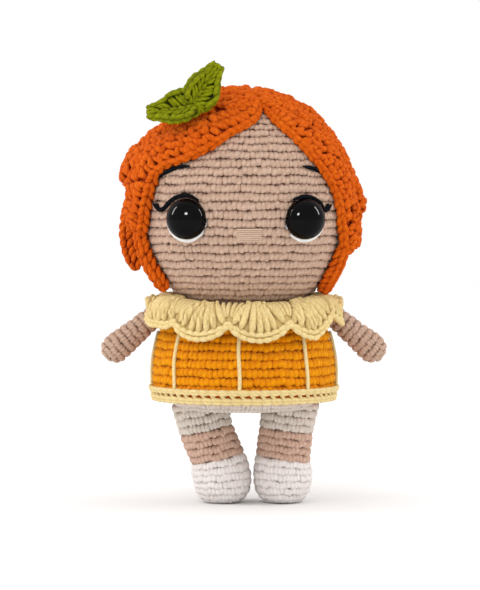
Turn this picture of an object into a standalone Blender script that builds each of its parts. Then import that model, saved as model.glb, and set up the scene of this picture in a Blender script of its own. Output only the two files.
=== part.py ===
"""Crocheted doll with orange hair, two green leaves and a fruit-coloured dress.

Lengths are in metres, angles in degrees. +Z is up and the doll looks along -Y,
so its left hand is at +X. The root empty stands on the doll's upright axis.
"""

import math

import bmesh
import bpy
from mathutils import Matrix, Vector

# General gaps and wall thicknesses
GAP = 0.0003
COVER_WALL = 0.0030
LIMB_WALL = 0.0024
ARM_WALL = 0.0018
OVERRUN = 0.004

# Head: a turned egg shape, its two halves meeting at its widest ring
HEAD_RADIUS = 0.0436
HEAD_RISE = 0.0460
HEAD_DROP = 0.0480
UPPER_FULLNESS = 2.1
LOWER_FULLNESS = 2.2
NECK_RADIUS = 0.0125
NECK_PLUG_HEIGHT = 0.0100
NECK_SEAM_RADIUS = 0.0205
NECK_YARN_RADIUS = 0.0008

# Heights of the stack from the soles up to the neck
SHOE_HEIGHT = 0.0193
SHIN_LENGTH = 0.0117
TROUSER_LENGTH = 0.0092
HEM_ABOVE_CROTCH = 0.0042
HEM_HEIGHT = 0.0042
DRESS_HEIGHT = 0.0371

# Trunk and dress
DRESS_RADIUS = 0.0390
DRESS_WALL = 0.0030
HEM_DEPTH = 0.0044
TRUNK_RADIUS = 0.0320
SEGMENT_YARN_RADIUS = 0.0007
SEGMENT_COUNT = 8
SEGMENT_START = -3.0

# Collar: ten crocheted fans on one neckline
COLLAR_WALL = 0.0018
COLLAR_SPREAD = 0.0020
COLLAR_FLARE = 0.0018
COLLAR_DROP = 0.0136
COLLAR_NOTCH = 0.0042
FAN_COUNT = 10
FAN_NOTCH_AT = -9.0
FAN_COLUMNS = 6

# Arms
ARM_ROOT_RADIUS = 0.0046
HAND_RADIUS = 0.0062
ARM_LENGTH = 0.0210
ARM_SLOPE = 40.0
SHOULDER_BELOW_NECK = 0.0056
SHOULDER_YARN_RADIUS = 0.0003
SHOULDER_SEAM_RADIUS = 0.0032

# Legs, each with its own lean: sideways places of the hip, cuff, ankle and foot
LEFT_HIP_X = 0.0204
LEFT_CUFF_X = 0.0181
LEFT_ANKLE_X = 0.0169
LEFT_FOOT_X = 0.0167
RIGHT_HIP_X = -0.0194
RIGHT_CUFF_X = -0.0163
RIGHT_ANKLE_X = -0.0113
RIGHT_FOOT_X = -0.0092
LEFT_LEAN = 8.0
RIGHT_LEAN = -13.0
THIGH_RADIUS = 0.0118
SHIN_RADIUS = 0.0112
SHOE_RADIUS = 0.0124
SOLE_RADIUS = 0.0080
FOOT_BACK = 0.0008
FOOT_LENGTH_SHARE = 1.12
INSOLE_THICKNESS = 0.0012
INSOLE_CLEARANCE = 0.0012
LEG_BORE_RADIUS = 0.0086

# Eyes: a domed button on a post, held by a washer inside the head
EYE_RADIUS = 0.0090
EYE_DOME_HEIGHT = 0.0046
EYE_RIM = 0.0010
EYE_WHITE_RADIUS = 0.0097
EYE_WHITE_THICKNESS = 0.0010
EYE_WHITE_DROP = 0.0007
EYE_SEAT_DEPTH = 0.0010
EYE_POST_RADIUS = 0.0017
EYE_POST_LENGTH = 0.0085
EYE_POLAR = 95.5
LEFT_EYE_AZIMUTH = 37.0
RIGHT_EYE_AZIMUTH = -34.0
WASHER_RADIUS = 0.0070
WASHER_THICKNESS = 0.0012
WASHER_SINK = 0.0010

# Embroidered face
FACE_YARN_RADIUS = 0.0006
NOSE_YARN_RADIUS = 0.0004
NOSE_STRANDS = 6
NOSE_AZIMUTH = 3.0
NOSE_WIDTH = 0.0110
NOSE_HEIGHT = 0.0046
NOSE_POLAR = 103.0
NOSE_REACH_SHARES = [-1.0, -0.33, 0.33, 1.0]
LEFT_LASH_DEGREES = [(28.0, 87.5), (33.0, 83.6), (41.0, 83.6), (48.0, 87.0), (52.0, 91.0), (57.0, 88.5)]
RIGHT_LASH_DEGREES = [(-23.0, 87.5), (-29.0, 83.6), (-38.0, 83.6), (-46.0, 88.0), (-52.0, 92.3), (-60.5, 89.5)]
LEFT_BROW_DEGREES = [(37.0, 71.0), (42.0, 71.0), (47.5, 72.5), (52.5, 74.5)]
RIGHT_BROW_DEGREES = [(-33.5, 71.0), (-41.0, 71.2), (-49.0, 73.2), (-55.0, 75.6)]

# Hair: a crocheted cap, and flat locks that fan out from a whorl over the forehead
HAIR_CAP_LIFT = 0.0014
HAIR_CAP_WALL = 0.0018
HAIR_LOCK_DEPTH = 0.0043
HAIR_LOCK_GAP = 0.0010
WHORL_AZIMUTH = 17.0
WHORL_POLAR = 24.0
WHORL_OPENING = 7.0
LOCK_ROW_STEP = 12.0
RIGHT_HAIRLINE_DEGREES = [
    (0.0, 2.0), (17.0, 20.0), (28.0, 38.0), (39.0, 47.0), (48.0, 55.0),
    (57.0, 68.0), (66.0, 80.0), (95.0, 80.0), (180.0, 84.0),
]
LEFT_HAIRLINE_DEGREES = [
    (0.0, -14.0), (22.0, -17.0), (30.0, -26.0), (46.0, -34.0), (62.0, -42.0),
    (80.0, -45.5), (97.0, -42.0), (180.0, -42.0),
]
LOCKS = [
    ("right_fringe", 102.0), ("right_temple_lock", 88.0), ("right_side_lock", 132.0),
    ("right_back_lock", 144.0), ("right_nape_lock", 148.0), ("left_nape_lock", 147.0),
    ("left_back_lock", 138.0), ("left_side_lock", 120.0), ("left_temple_lock", 88.0),
    ("left_fringe", 95.0),
]
CAP_EDGE_DEGREES = [
    (-180.0, 124.0), (-120.0, 121.0), (-95.0, 112.0), (-80.0, 103.0), (-68.0, 92.0),
    (-62.0, 74.0), (-50.0, 65.0), (-36.0, 62.0), (-24.0, 58.0), (-12.0, 49.0),
    (0.0, 40.0), (12.0, 30.0), (20.0, 26.0), (28.0, 40.0), (36.0, 50.0), (46.0, 60.0),
    (56.0, 74.0), (64.0, 88.0), (70.0, 97.0), (90.0, 106.0), (120.0, 119.0), (180.0, 124.0),
]
# Small locks: name, half width in degrees, depth as a share, and their route from the whorl
LOOSE_LOCKS = [
    ("right_curl", 6.0, 1.25, [(90.5, 111.5), (97.0, 112.0), (104.0, 109.0), (110.0, 103.0), (115.0, 97.0)]),
    ("right_face_strand", 2.8, 0.55, [(102.8, 88.5), (111.0, 79.0), (120.0, 70.0), (128.0, 68.0)]),
    ("left_face_strand", 2.8, 0.55, [(96.1, -51.0), (104.0, -45.5), (112.0, -43.0), (120.0, -47.0)]),
]

# Leaves: cupped, sewn to the hair by their stalk ends
LEAF_WALL_RADIUS = 0.0011
LEAF_BASE_AZIMUTH = -30.0
LEAF_BASE_POLAR = 43.5
LEAF_CUP = 0.0022
LEAF_STITCH_RADIUS = 0.0016
LEFT_LEAF_LENGTH = 0.0186
LEFT_LEAF_HALF_WIDTH = 0.0072
RIGHT_LEAF_LENGTH = 0.0222
RIGHT_LEAF_HALF_WIDTH = 0.0070
LEAF_STALK_SHARE = 0.30

# Mesh fineness
ROUND_SIDES = 32
STUFFING_SIDES = 22
LIMB_SIDES = 16
FINE_SIDES = 14

neck_z = SHOE_HEIGHT + SHIN_LENGTH + TROUSER_LENGTH + HEM_ABOVE_CROTCH + HEM_HEIGHT + DRESS_HEIGHT
crotch_z = SHOE_HEIGHT + SHIN_LENGTH + TROUSER_LENGTH
cuff_z = SHOE_HEIGHT + SHIN_LENGTH
hem_z = crotch_z + HEM_ABOVE_CROTCH
dress_bottom_z = hem_z + HEM_HEIGHT


# Scene, materials and small helpers
def clear_scene():
    for old in list(bpy.data.objects):
        bpy.data.objects.remove(old, do_unlink=True)


def make_collection(name):
    made = bpy.data.collections.new(name)
    bpy.context.scene.collection.children.link(made)
    return made


def make_material(name, red, green, blue, roughness):
    """A material from a colour on the usual screen scale of 0 to 255."""
    made = bpy.data.materials.new(name)
    made.use_nodes = True
    shader = made.node_tree.nodes["Principled BSDF"]
    linear = [(value / 255.0) ** 2.2 for value in (red, green, blue)]
    shader.inputs["Base Color"].default_value = (*linear, 1.0)
    shader.inputs["Roughness"].default_value = roughness
    shader.inputs["Metallic"].default_value = 0.0
    return made


def interpolate(table, at):
    """The value at a place in a table of (place, value) pairs, straight between them."""
    for (low, first), (high, second) in zip(table, table[1:]):
        if at <= high:
            return first + (second - first) * max(0.0, at - low) / (high - low)
    return table[-1][1]


clear_scene()
parts = make_collection("crocheted_doll")
cutters = make_collection("cutters")

skin = make_material("skin yarn", 198, 165, 145, 0.90)
hair_orange = make_material("orange yarn", 225, 95, 30, 0.88)
dress_orange = make_material("dress yarn", 233, 145, 25, 0.90)
cream = make_material("cream yarn", 240, 225, 165, 0.90)
white = make_material("white yarn", 230, 225, 222, 0.90)
green = make_material("green yarn", 125, 150, 25, 0.90)
black_yarn = make_material("black yarn", 25, 25, 28, 0.85)
black_plastic = make_material("black plastic", 20, 20, 23, 0.12)
white_felt = make_material("white felt", 235, 235, 232, 0.90)
wadding = make_material("wadding", 240, 240, 236, 0.95)
washer_plastic = make_material("washer plastic", 235, 235, 235, 0.45)
insole_sheet = make_material("insole sheet", 235, 235, 230, 0.55)


def add_empty(name, location, parent=None):
    made = bpy.data.objects.new(name, None)
    made.location = location
    made.parent = parent
    parts.objects.link(made)
    return made


def add_mesh(name, points, faces, material, parent, edges=()):
    mesh = bpy.data.meshes.new(name)
    mesh.from_pydata([tuple(point) for point in points], list(edges), list(faces))
    mesh.update()
    mesh.shade_smooth()
    made = bpy.data.objects.new(name, mesh)
    made.parent = parent
    if material:
        mesh.materials.append(material)
        parts.objects.link(made)
    else:
        made.hide_render = True
        made.display_type = "WIRE"
        cutters.objects.link(made)
    return made


def cut(target, cutter):
    modifier = target.modifiers.new("cut by " + cutter.name, "BOOLEAN")
    modifier.operation = "DIFFERENCE"
    modifier.solver = "EXACT"
    modifier.object = cutter


def add_turned(name, outline, material, parent, sides=ROUND_SIDES):
    """A solid of revolution; the outline of (radius, height) runs down its outer side."""
    points = [Vector((radius, 0.0, height)) for radius, height in outline]
    edges = [(n, n + 1) for n in range(len(points) - 1)]
    if outline[0][0] > 0.0:
        edges.append((len(points) - 1, 0))
    made = add_mesh(name, points, [], material, parent, edges)
    screw = made.modifiers.new("turn", "SCREW")
    screw.axis = "Z"
    screw.steps = sides
    screw.render_steps = sides
    screw.use_merge_vertices = True
    screw.merge_threshold = 0.00001
    screw.use_smooth_shade = True
    return made


def add_loft(name, rings, material, parent, wall=0.0, bottom=True, top=True):
    """A skin over rings of equal point counts, listed from the bottom ring up."""
    count = len(rings[0])
    points = [point for ring in rings for point in ring]
    faces = []
    for row in range(len(rings) - 1):
        for n in range(count):
            low, high = row * count, (row + 1) * count
            after = (n + 1) % count
            faces.append((low + n, low + after, high + after, high + n))
    if bottom:
        faces.append(tuple(reversed(range(count))))
    if top:
        faces.append(tuple(range((len(rings) - 1) * count, len(rings) * count)))
    made = add_mesh(name, points, faces, material, parent)
    if bottom and top:
        turned_out = bmesh.new()
        turned_out.from_mesh(made.data)
        bmesh.ops.recalc_face_normals(turned_out, faces=turned_out.faces)
        turned_out.to_mesh(made.data)
        turned_out.free()
    if wall:
        solid = made.modifiers.new("wall", "SOLIDIFY")
        solid.thickness = wall
        solid.offset = -1.0
        solid.use_even_offset = True
    return made


def add_yarn(name, points, radius, material, parent):
    """A round yarn along a list of points."""
    curve = bpy.data.curves.new(name, "CURVE")
    curve.dimensions = "3D"
    curve.bevel_depth = radius
    curve.bevel_resolution = 1
    curve.use_fill_caps = True
    spline = curve.splines.new("POLY")
    spline.points.add(len(points) - 1)
    for slot, point in zip(spline.points, points):
        slot.co = (*point, 1.0)
    curve.materials.append(material)
    made = bpy.data.objects.new(name, curve)
    made.parent = parent
    parts.objects.link(made)
    return made


def add_torus(name, radius, yarn_radius, material, parent, sides=ROUND_SIDES, around=6):
    ring = [
        (radius + yarn_radius * math.cos(turn), yarn_radius * math.sin(turn))
        for turn in (-math.tau * n / around for n in range(around))
    ]
    return add_turned(name, ring, material, parent, sides)


def offset_outline(outline, inwards):
    """The outline moved inwards, square to itself, by the given distance."""
    moved = []
    for n, (radius, height) in enumerate(outline):
        before = Vector(outline[max(0, n - 1)])
        after = Vector(outline[min(len(outline) - 1, n + 1)])
        along = (after - before).normalized()
        moved.append((radius + along.y * inwards, height - along.x * inwards))
    return moved


# Head surface, measured from the centre of its widest ring
def head_height(radius):
    """The height of the head's underside at a radius, from the widest ring."""
    return -HEAD_DROP * (1.0 - (radius / HEAD_RADIUS) ** LOWER_FULLNESS) ** (1.0 / LOWER_FULLNESS)


def head_outline(polar, lift=0.0):
    """Radius and height of the head's outline at an angle from its top, raised by lift."""
    side, up = math.sin(math.radians(polar)), math.cos(math.radians(polar))
    fullness = UPPER_FULLNESS if up > 0.0 else LOWER_FULLNESS
    reach = HEAD_RISE if up > 0.0 else HEAD_DROP
    radius = HEAD_RADIUS * abs(side) ** (2.0 / fullness)
    height = math.copysign(reach * abs(up) ** (2.0 / fullness), up)
    slope = Vector((
        (radius / HEAD_RADIUS) ** (fullness - 1.0) / HEAD_RADIUS,
        math.copysign((abs(height) / reach) ** (fullness - 1.0) / reach, up),
    )).normalized()
    return radius + lift * slope.x, height + lift * slope.y


def head_underside(radius, lift=0.0):
    """The outline's place below the widest ring where its radius is the given one."""
    low, high = 90.0, 180.0
    for _ in range(40):
        middle = 0.5 * (low + high)
        if head_outline(middle, lift)[0] > radius:
            low = middle
        else:
            high = middle
    return head_outline(middle, lift)


def head_point(azimuth, polar, lift=0.0):
    """A place on the head: azimuth from the face towards the doll's left, angle from the top."""
    radius, height = head_outline(polar, lift)
    turn = math.radians(azimuth)
    return Vector((radius * math.sin(turn), -radius * math.cos(turn), height))


def head_normal(azimuth, polar):
    return (head_point(azimuth, polar, GAP) - head_point(azimuth, polar)).normalized()


head_z = neck_z + 2.0 * GAP - head_height(DRESS_RADIUS * 0.615)
face_reach = HEAD_RADIUS + GAP + 2.0 * NOSE_YARN_RADIUS
hair_reach = HEAD_RADIUS + HAIR_CAP_LIFT + HAIR_CAP_WALL + HAIR_LOCK_GAP + HAIR_LOCK_DEPTH
axis_y = (face_reach - hair_reach) / 2.0

root = add_empty("doll_axis", (0.0, axis_y, 0.0))
head = add_empty("head_axis", (0.0, 0.0, head_z), root)

# Trunk: white cover, stuffing with its neck plug, and the yarn that sews the head on
DRESS_OUTLINE_SHARES = [
    (0.615, 1.000), (0.744, 0.962), (0.846, 0.881), (0.903, 0.754),
    (0.949, 0.579), (0.987, 0.390), (1.000, 0.225), (0.995, 0.000),
]
TRUNK_OUTLINE_SHARES = [(0.995, 0.62), (1.0, 0.35), (0.985, 0.14), (0.93, 0.055), (0.82, 0.018), (0.5, 0.0)]

dress_outer = [
    (DRESS_RADIUS * across, dress_bottom_z + DRESS_HEIGHT * up) for across, up in DRESS_OUTLINE_SHARES
]
shoulder = offset_outline(dress_outer, DRESS_WALL + GAP)[:4]
neck_top_z = head_z + head_height(NECK_RADIUS + GAP) - GAP
trunk_height = shoulder[3][1] - crotch_z
trunk_outer = (
    [(NECK_RADIUS + GAP, neck_top_z)]
    + shoulder
    + [(TRUNK_RADIUS * across, crotch_z + trunk_height * up) for across, up in TRUNK_OUTLINE_SHARES]
)
trunk_bottom = (0.0, crotch_z)
trunk_inner = offset_outline(trunk_outer + [trunk_bottom], COVER_WALL)[1:-1]
trunk_mouth = (NECK_RADIUS + GAP, neck_top_z - COVER_WALL)
trunk_cover = add_turned(
    "trunk_cover",
    [(0.0, crotch_z + COVER_WALL)]
    + [point for point in reversed(trunk_inner)]
    + [trunk_mouth]
    + trunk_outer
    + [trunk_bottom],
    white,
    root,
)

stuffing_side = offset_outline(trunk_outer + [trunk_bottom], COVER_WALL + GAP)[1:-1]
plug_top_z = neck_top_z + NECK_PLUG_HEIGHT
trunk_stuffing = add_turned(
    "trunk_stuffing",
    [(0.0, plug_top_z), (NECK_RADIUS, plug_top_z), (NECK_RADIUS, neck_top_z - COVER_WALL - GAP)]
    + stuffing_side
    + [(0.0, crotch_z + COVER_WALL + GAP)],
    wadding,
    root,
    STUFFING_SIDES,
)

neck_seam = add_torus("neck_seam", NECK_SEAM_RADIUS, NECK_YARN_RADIUS, skin, root, 28)
neck_seam.location.z = head_z + head_height(NECK_SEAM_RADIUS) - GAP - NECK_YARN_RADIUS - 0.5 * GAP

# Dress with its cream hem and the yarn lines that part it like a fruit
dress = add_turned(
    "dress",
    dress_outer + [point for point in reversed(offset_outline(dress_outer, DRESS_WALL))],
    dress_orange,
    root,
)
hem_radius = DRESS_RADIUS * DRESS_OUTLINE_SHARES[-1][0]
hem_outline = [
    (hem_radius - DRESS_WALL, dress_bottom_z - GAP),
    (hem_radius + 0.15 * HEM_DEPTH, dress_bottom_z - GAP),
    (hem_radius + 0.20 * HEM_DEPTH, hem_z + 0.55 * HEM_HEIGHT),
    (hem_radius - 0.10 * HEM_DEPTH, hem_z),
    (hem_radius - 0.70 * HEM_DEPTH, hem_z + 0.20 * HEM_HEIGHT),
]
add_turned("dress_hem", hem_outline, cream, root)


def dress_radius_at(height):
    table = [(up, across) for across, up in reversed(DRESS_OUTLINE_SHARES)]
    return DRESS_RADIUS * interpolate(table, (height - dress_bottom_z) / DRESS_HEIGHT)


SEGMENT_LINE_SHARES = [0.02, 0.26, 0.5, 0.76, 1.0]
shoulder_z = neck_z - SHOULDER_BELOW_NECK
for n in range(SEGMENT_COUNT):
    turn = math.radians(SEGMENT_START + 360.0 * n / SEGMENT_COUNT)
    beside_arm = abs(math.sin(turn)) > 0.9
    line_top = shoulder_z - (ARM_ROOT_RADIUS if beside_arm else 0.0) - 2.0 * SHOULDER_SEAM_RADIUS * beside_arm
    line_top = min(line_top, dress_bottom_z + 0.75 * DRESS_HEIGHT)
    line = []
    for up in SEGMENT_LINE_SHARES:
        height = dress_bottom_z + (line_top - dress_bottom_z) * up
        radius = dress_radius_at(height) + 2.0 * GAP + SEGMENT_YARN_RADIUS
        line.append((radius * math.sin(turn), -radius * math.cos(turn), height))
    add_yarn(f"dress_segment_line_{n + 1}", line, SEGMENT_YARN_RADIUS, cream, root)

# Shoulders: each arm's root is a ball that rests against the dress
shoulder_seat = dress_radius_at(shoulder_z)
seat_slope = Vector((
    DRESS_HEIGHT * (DRESS_OUTLINE_SHARES[2][1] - DRESS_OUTLINE_SHARES[3][1]),
    DRESS_RADIUS * (DRESS_OUTLINE_SHARES[3][0] - DRESS_OUTLINE_SHARES[2][0]),
)).normalized()
pivot_x = shoulder_seat + (ARM_ROOT_RADIUS + GAP) / seat_slope.x

# Collar: draped over the dress top and over both arm roots, its edge in ten fans
COLLAR_DROP_SHARES = [0.0, 0.05, 0.24, 0.58, 1.0]
COLLAR_SPREAD_SHARES = [0.0, 0.30, 0.62, 0.88, 1.0]
collar_radius = dress_outer[0][0] + COLLAR_SPREAD
collar_rise = (dress_outer[1][1] - dress_outer[0][1]) / (dress_outer[1][0] - dress_outer[0][0])
collar_z = dress_outer[0][1] + collar_rise * COLLAR_SPREAD + GAP
collar_tip_radius = DRESS_RADIUS + COLLAR_FLARE
arm_cover_radius = ARM_ROOT_RADIUS + 3.0 * GAP
collar_columns = FAN_COUNT * FAN_COLUMNS
collar_points = []


def height_over_arm(aside):
    """Least height of the collar beside an arm: round over its top, then falling steeply."""
    shoulder_line = 0.8 * arm_cover_radius
    if aside < shoulder_line:
        return shoulder_z + math.sqrt(arm_cover_radius ** 2 - aside ** 2)
    return shoulder_z + 0.6 * arm_cover_radius - 2.0 * (aside - shoulder_line)


for drop_share, spread_share in zip(COLLAR_DROP_SHARES, COLLAR_SPREAD_SHARES):
    for column in range(collar_columns):
        azimuth = FAN_NOTCH_AT + 360.0 * column / collar_columns
        swell = abs(math.sin(math.pi * column / FAN_COLUMNS)) ** 0.6
        drop = (COLLAR_DROP + COLLAR_NOTCH * (swell - 1.0)) * drop_share
        radius = collar_radius + (collar_tip_radius - collar_radius) * spread_share
        turn = math.radians(azimuth)
        x, y = radius * math.sin(turn), -radius * math.cos(turn)
        height = collar_z - drop
        if spread_share > 0.0:
            height = max(height, height_over_arm(abs(y)))
        collar_points.append(Vector((x, y, height)))
collar_faces = []
for row in range(len(COLLAR_DROP_SHARES) - 1):
    for column in range(collar_columns):
        after = (column + 1) % collar_columns
        near, far = row * collar_columns, (row + 1) * collar_columns
        collar_faces.append((near + column, far + column, far + after, near + after))
collar = add_mesh("collar", collar_points, collar_faces, cream, root)
collar_wall = collar.modifiers.new("wall", "SOLIDIFY")
collar_wall.thickness = COLLAR_WALL
collar_wall.offset = 1.0

# Arms: stuffed tubes that swing about the centre of their ball-shaped roots
ARM_LENGTH_SHARES = [0.86, 0.60, 0.35, 0.15, 0.0]
root_open_radius = 0.55 * ARM_ROOT_RADIUS


def arm_outline(wall):
    """The arm's outline from its hand down to its root, thinner by the wall."""
    hand, ball = HAND_RADIUS - wall, ARM_ROOT_RADIUS - wall
    outline = []
    for turn in (0.0, 30.0, 60.0):
        outline.append((
            hand * math.sin(math.radians(turn)), ARM_LENGTH + hand * math.cos(math.radians(turn))
        ))
    for share in ARM_LENGTH_SHARES:
        outline.append((ball + (hand - ball) * share ** 1.3, ARM_LENGTH * share))
    return outline


def add_arm(side, sign):
    pivot = add_empty(side + "_shoulder", (sign * pivot_x, 0.0, shoulder_z), root)
    outer, inner = arm_outline(0.0), arm_outline(ARM_WALL)
    sink = math.sqrt(ARM_ROOT_RADIUS ** 2 - root_open_radius ** 2)
    middle = math.sqrt(0.5) * ARM_ROOT_RADIUS
    bore = root_open_radius - 0.3 * ARM_WALL
    bore_depth = math.sqrt((ARM_ROOT_RADIUS - ARM_WALL) ** 2 - bore ** 2)
    shell = outer + [(middle, -middle), (root_open_radius, -sink), (bore, -sink), (bore, -bore_depth)]
    arm = add_turned(side + "_arm", shell + list(reversed(inner)), skin, pivot, LIMB_SIDES)
    filling = arm_outline(ARM_WALL + GAP)
    fill_radius = bore - GAP
    filling += [(fill_radius, GAP - bore_depth), (fill_radius, GAP - sink), (0.0, GAP - sink)]
    stuffing = add_turned(side + "_arm_stuffing", filling, wadding, pivot, 12)
    for piece in (arm, stuffing):
        piece.rotation_euler = (0.0, sign * math.radians(90.0 + ARM_SLOPE), 0.0)
    seam = add_torus(side + "_shoulder_seam", SHOULDER_SEAM_RADIUS, SHOULDER_YARN_RADIUS, skin, root, 16)
    seat_angle = math.atan2(seat_slope.x, seat_slope.y)
    seam.rotation_euler = (0.0, sign * seat_angle, 0.0)
    reach = ARM_ROOT_RADIUS - SHOULDER_YARN_RADIUS
    seam.location = (
        sign * (pivot_x - reach * seat_slope.x), 0.0, shoulder_z - reach * seat_slope.y
    )


add_arm("left", 1.0)
add_arm("right", -1.0)

# Legs: shoe, skin rows and trouser leg follow one leaning line up to the trunk
SHOE_HEIGHT_SHARES = [0.0, 0.10, 0.26, 0.50, 0.78, 1.0]
SHOE_WIDTH_SHARES = [0.0, 0.46, 0.82, 1.0, 0.96, 0.90]
trunk_keep_out = add_turned(
    "trunk_keep_out",
    [(0.0, neck_top_z)] + offset_outline(trunk_outer + [trunk_bottom], -GAP)[:-1] + [(0.0, crotch_z - GAP)],
    None,
    root,
)


def limb_ring(centre, across, along, lean, sides=LIMB_SIDES):
    """An oval ring, tipped sideways by the lean."""
    tip = Matrix.Rotation(math.radians(lean), 3, "Y")
    ring = []
    for n in range(sides):
        turn = math.tau * n / sides
        ring.append(centre + tip @ Vector((across * math.cos(turn), along * math.sin(turn), 0.0)))
    return ring


def leg_line(height, hip_x, cuff_x, ankle_x, foot_x):
    table = [(0.0, foot_x), (0.5 * SHOE_HEIGHT, foot_x), (SHOE_HEIGHT, ankle_x), (cuff_z, cuff_x), (hem_z, hip_x)]
    return Vector((interpolate(table, height), FOOT_BACK, height))


def shoe_width(height):
    share = interpolate(list(zip(SHOE_HEIGHT_SHARES, SHOE_WIDTH_SHARES)), height / SHOE_HEIGHT)
    return SOLE_RADIUS + (SHOE_RADIUS - SOLE_RADIUS) * share


insole_z = LIMB_WALL + GAP
filled_from = insole_z + INSOLE_THICKNESS + GAP


def add_leg(side, lean, line):
    def rings(levels, radius_at, inset=0.0, sides=LIMB_SIDES):
        made = []
        for level in levels:
            tip = lean * min(1.0, max(0.0, (level - filled_from) / (SHOE_HEIGHT - filled_from)))
            length_share = 1.0 + (FOOT_LENGTH_SHARE - 1.0) * max(0.0, 1.0 - level / SHOE_HEIGHT)
            width = radius_at(level) - inset
            made.append(limb_ring(leg_line(level, *line), width, width * length_share, tip, sides))
        return made

    def shin(level):
        return SHIN_RADIUS

    def thigh(level):
        return SHIN_RADIUS + (THIGH_RADIUS - SHIN_RADIUS) * (level - cuff_z) / (crotch_z - cuff_z)

    shoe_levels = [SHOE_HEIGHT * share for share in SHOE_HEIGHT_SHARES]
    add_loft(side + "_shoe", rings(shoe_levels, shoe_width), white, root, LIMB_WALL, top=False)
    shin_levels = [SHOE_HEIGHT + GAP, 0.5 * (SHOE_HEIGHT + cuff_z), cuff_z]
    add_loft(side + "_leg", rings(shin_levels, shin), skin, root, LIMB_WALL, bottom=False, top=False)
    thigh_levels = [cuff_z + GAP, 0.5 * (cuff_z + crotch_z), crotch_z, crotch_z + OVERRUN]
    trouser = add_loft(
        side + "_trouser_leg", rings(thigh_levels, thigh), white, root, LIMB_WALL, bottom=False, top=False
    )
    cut(trouser, trunk_keep_out)

    sole_width = shoe_width(insole_z) - LIMB_WALL - INSOLE_CLEARANCE
    insole_rings = [
        limb_ring(leg_line(height, *line), sole_width, sole_width * FOOT_LENGTH_SHARE, 0.0, FINE_SIDES)
        for height in (insole_z, insole_z + INSOLE_THICKNESS)
    ]
    add_loft(side + "_insole", insole_rings, insole_sheet, root)

    fill_levels = [filled_from, 0.5 * SHOE_HEIGHT, SHOE_HEIGHT, cuff_z, crotch_z - GAP]

    def fill(level):
        return min(shoe_width(level), SHIN_RADIUS) if level < SHOE_HEIGHT else SHIN_RADIUS

    fill_rings = rings(fill_levels, fill, LIMB_WALL + 2.0 * GAP, FINE_SIDES)
    plug_centre = leg_line(crotch_z, *line) + Vector((0.0, 0.0, COVER_WALL + OVERRUN))
    fill_rings.append(limb_ring(plug_centre, LEG_BORE_RADIUS - GAP, LEG_BORE_RADIUS - GAP, 0.0, FINE_SIDES))
    add_loft(side + "_leg_stuffing", fill_rings, wadding, root)

    bore_rings = [
        limb_ring(
            leg_line(crotch_z, *line) + Vector((0.0, 0.0, height)),
            LEG_BORE_RADIUS, LEG_BORE_RADIUS, 0.0, FINE_SIDES,
        )
        for height in (-OVERRUN, COVER_WALL + OVERRUN + GAP)
    ]
    bore = add_loft(side + "_leg_bore", bore_rings, None, root)
    cut(trunk_cover, bore)
    cut(trunk_stuffing, bore)


add_leg("left", LEFT_LEAN, (LEFT_HIP_X, LEFT_CUFF_X, LEFT_ANKLE_X, LEFT_FOOT_X))
add_leg("right", RIGHT_LEAN, (RIGHT_HIP_X, RIGHT_CUFF_X, RIGHT_ANKLE_X, RIGHT_FOOT_X))

# Head: crocheted cover open at the neck, and stuffing that turns on the neck plug
HEAD_POLARS = [0.0, 12.0, 24.0, 36.0, 48.0, 60.0, 72.0, 84.0, 96.0, 108.0, 120.0, 132.0, 143.0, 153.0]
neck_opening = NECK_RADIUS + GAP


def head_section(lift, opening):
    """The head's outline from its top down to the neck opening."""
    outline = [(0.0, head_outline(0.0, lift)[1])]
    outline += [head_outline(polar, lift) for polar in HEAD_POLARS[1:]]
    outline.append(head_underside(0.5 * (outline[-1][0] + opening), lift))
    outline.append(head_underside(opening, lift))
    return outline


head_cover = add_turned(
    "head_cover",
    head_section(0.0, neck_opening) + list(reversed(head_section(-COVER_WALL, neck_opening))),
    skin,
    head,
)
plug_hole_top = plug_top_z - head_z + GAP
head_stuffing = add_turned(
    "head_stuffing",
    head_section(-COVER_WALL - GAP, neck_opening) + [(neck_opening, plug_hole_top), (0.0, plug_hole_top)],
    wadding,
    head,
    STUFFING_SIDES,
)


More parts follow.
